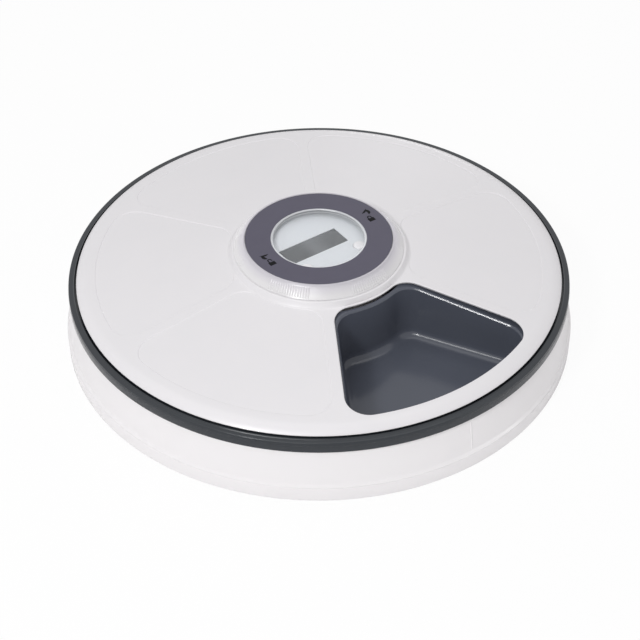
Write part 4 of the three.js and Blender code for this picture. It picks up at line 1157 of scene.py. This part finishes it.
# %% Feet
rubber = Finish("black_rubber", linear(30, 30, 32), 0.8)
rubber.mottled(160, 4.0, linear(24, 24, 26), linear(38, 38, 40))
rubber.worn(0.72, 0.2, 90)
rubber.grained(900, 3.0, 0.04 * mm)
for i in range(1, 5):
    low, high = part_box(f"foot_{i}")
    spot = middle(f"foot_{i}")
    section = [(0.0, 0.0), (foot_radius - 1.4 * mm, 0.0)]
    section += rounded(foot_radius, 0.0, 0.7 * mm, lower_outer, 4)
    section += [(foot_radius, high.z), (0.0, high.z)]
    foot = spun(f"rubber_foot_{i}", section, steps=64, closed=False)
    foot.data.transform(Matrix.Translation((spot.x, spot.y, 0)))
    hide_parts(f"foot_{i}")
    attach(foot, "base")
    painted(foot, rubber)
print("feet:", round(foot_radius * 2 / mm, 1), "mm across")

# %% [markdown]
# The battery door closes the floor between the feet and is seen only from below. A screw holds its
# round tab, and a shallow hollow with five ridges gives the finger a hold.

# %% Battery door
door_face = Finish("door_white", linear(230, 230, 231), 0.45)
door_face.grained(1300, 2.0, 0.03 * mm)
door_face.mottled(40, 3.0, linear(227, 227, 228), linear(233, 233, 234))
door_face.worn(0.42, 0.08, 70)
plate_level = floor_low + 1.1 * mm
door = pane("door_plate", (-door_side, door_front, floor_low), (door_side, door_back, plate_level),
            0.25 * mm)
pad_inset = 2.4 * mm
pad = slab("pad", (-door_side + pad_inset, door_front + pad_inset, floor_low + 0.6 * mm),
           (door_side - pad_inset, door_back - pad_inset, floor_high))
combine(door, pad, "UNION")
neck = slab("neck", (-neck_side, tab_y, floor_low), (neck_side, door_front + 1 * mm, plate_level))
combine(door, neck, "UNION")
hollow_radius = 9 * mm
hollow_middle = door_front + 15.9 * mm
under = floor_low - 2 * mm
combine(door, rod("tab", tab_radius, floor_low, door_high.z, 0, tab_y, 64), "UNION")
combine(door, rod("cut", screw_head_hole, under, door_high.z - 1.3 * mm, 0, tab_y, 48))
combine(door, rod("cut", screw_hole, under, door_high.z + 2 * mm, 0, tab_y, 48))
combine(door, rod("cut", hollow_radius, under, floor_low + 0.5 * mm, 0, hollow_middle, 96))
ridge_pitch = 2.4 * mm
for i in range(-2, 3):
    across = (5.5 - abs(i)) * mm
    along = hollow_middle + i * ridge_pitch
    ridge = pane("ridge", (-across, along - 0.5 * mm, floor_low + 0.1 * mm),
                 (across, along + 0.5 * mm, floor_low + 0.7 * mm), 0.15 * mm)
    combine(door, ridge, "UNION")
smoothed(door)
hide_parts("battery_door")
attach(door, "base")
painted(door, door_face)
print("door faces:", len(door.data.polygons))

# %% [markdown]
# The pieces inside keep the model's own plain shapes, and each gets the look of what it is made of:
# dull dark plastic, cream gears, a green board with fine tracks, steel, and cells with a copper end.

# %% Finishes of the pieces inside
dark_inner = Finish("inner_plastic", linear(46, 47, 51), 0.5)
dark_inner.mottled(60, 4.0, linear(40, 41, 45), linear(54, 55, 59))
dark_inner.worn(0.45, 0.15, 120)
dark_inner.grained(1500, 2.0, 0.02 * mm)

gear_cream = Finish("gear_plastic", linear(232, 228, 212), 0.4)
gear_cream.mottled(45, 4.0, linear(228, 223, 205), linear(236, 232, 218))
gear_cream.worn(0.36, 0.14, 150)

board_green = Finish("board_green", linear(31, 90, 54), 0.4, Coat_Weight=0.4)
tracks = board_green.node("ShaderNodeTexBrick", {"offset": 0.5}, {
    "Vector": board_green.place(), "Scale": 160.0, "Mortar Size": 0.05, "Color1": (0, 0, 0, 1),
    "Color2": (0.3, 0.3, 0.3, 1), "Mortar": (1, 1, 1, 1)}, output="Color")
board_green.set("Base Color", board_green.mix(tracks, linear(27, 84, 50), linear(48, 116, 70)))
board_green.worn(0.34, 0.12, 200)

steel = Finish("steel", linear(188, 191, 195), 0.3, Metallic=1.0)
steel.worn(0.24, 0.2, 260, 4.0)
steel.mottled(90, 3.0, linear(180, 183, 187), linear(200, 202, 205))

cell_wrap = Finish("cell_jacket", linear(58, 95, 138), 0.3, Coat_Weight=0.4)
along_cell = cell_wrap.node("ShaderNodeSeparateXYZ", {}, [cell_wrap.place()], output="Y")
band_here = along_cell.between(12 * mm, 12.4 * mm)
cell_wrap.set("Base Color", cell_wrap.mix(band_here, linear(52, 88, 130), linear(176, 138, 70)))
cell_wrap.worn(0.26, 0.1, 150)

inner_pieces = {
    dark_inner: ["battery_holder", "gearmotor_case", "index_switch", "lcd_module"],
    gear_cream: ["drive_ring", "drive_pinion"],
    board_green: ["control_board"],
    rubber: ["key_mat"],
    cell_wrap: ["cell_1", "cell_2", "cell_3"],
    steel: ["minus_contacts", "plus_contacts", "motor_can", "door_screw"]
           + [f"cover_screw_{i}" for i in range(1, 7)] + ["motor_screw_1", "motor_screw_2"]
           + [f"board_screw_{i}" for i in range(1, 4)],
}
for finish, nodes in inner_pieces.items():
    for node in nodes:
        painted(bpy.data.objects[node], finish)
print("inner pieces finished:", sum(len(nodes) for nodes in inner_pieces.values()))

# %% [markdown]
# To the camera alone the floor is mostly a white glow, so that it looks white and still keeps a
# share of the feeder's shadow. To the light it is a plain pale surface.

# %% Floor
bpy.ops.mesh.primitive_plane_add(size=14)
floor = bpy.context.object
floor.name = "floor"
floor_white = Finish("floor_white", (0.93, 0.93, 0.93), 0.9)
painted(floor, floor_white)
glow_share = 0.92
to_camera = floor_white.node("ShaderNodeLightPath", {}, [], output="Is Camera Ray")
lit = Socket(floor_white, floor_white.shader.outputs["BSDF"])
glow = floor_white.node("ShaderNodeEmission", {}, {"Color": (1, 1, 1, 1), "Strength": 1.0})
fade = floor_white.node("ShaderNodeMixShader", {}, [to_camera * glow_share, lit, glow])
surface = floor_white.tree.nodes["Material Output"].inputs["Surface"]
floor_white.tree.links.new(fade.source, surface)
print("floor:", round(floor.dimensions.x, 1), "m wide")

# %% [markdown]
# Five soft lights, as in a product picture: a large one overhead, a wide one from the left, a small
# one beside it that draws the bright lines on the tray's lips, a weak one far behind on the right,
# and a low one from the front right. A lamp's power is in watts and its size in metres.

# %% Lights
def soft_light(name, place, aim, size, power):
    bpy.ops.object.light_add(type="AREA", location=place)
    light = bpy.context.object
    light.name = name
    light.data.shape = "RECTANGLE"
    light.data.size, light.data.size_y = size
    light.data.energy = power
    light.rotation_euler = (Vector(place) - Vector(aim)).to_track_quat("Z", "Y").to_euler()


soft_light("over", (0.1, 0.3, 1.6), aim=(0, 0, 0.05), size=(1.6, 1.2), power=5.5)
soft_light("key", (-0.95, -0.6, 1.15), aim=(0, 0, 0.05), size=(0.85, 0.35), power=5.0)
soft_light("left", (-1.08, -0.49, 1.09), aim=(0.07, -0.1, 0.05), size=(0.21, 0.19), power=5.4)
soft_light("far", (1.1, 1.14, 0.36), aim=(0.1, 0.1, 0.05), size=(0.35, 0.3), power=1.0)
soft_light("right", (0.95, -1.45, 0.26), aim=(0, 0, 0.03), size=(0.9, 0.4), power=2.6)

# %% [markdown]
# The world is white to the camera and to what mirrors it, and a softer grey as light, so that the
# white plastic keeps its shades.

# %% World
world = bpy.data.worlds.new("studio")
world.use_nodes = True
bpy.context.scene.world = world
nodes = world.node_tree.nodes
links = world.node_tree.links
nodes.clear()
output = nodes.new("ShaderNodeOutputWorld")
seen = nodes.new("ShaderNodeLightPath")
either = nodes.new("ShaderNodeMath")
either.operation = "MAXIMUM"
choose = nodes.new("ShaderNodeMixShader")


def sky(colour, strength):
    node = nodes.new("ShaderNodeBackground")
    node.inputs["Color"].default_value = (*colour, 1)
    node.inputs["Strength"].default_value = strength
    return node.outputs[0]


as_light = sky((1.0, 0.985, 1.0), 0.45)
as_seen = sky((1, 1, 1), 1.0)
for i, ray in enumerate(("Is Camera Ray", "Is Glossy Ray")):
    links.new(seen.outputs[ray], either.inputs[i])
for i, source in enumerate((either.outputs[0], as_light, as_seen)):
    links.new(source, choose.inputs[i])
links.new(choose.outputs[0], output.inputs["Surface"])
print("world nodes:", len(nodes))
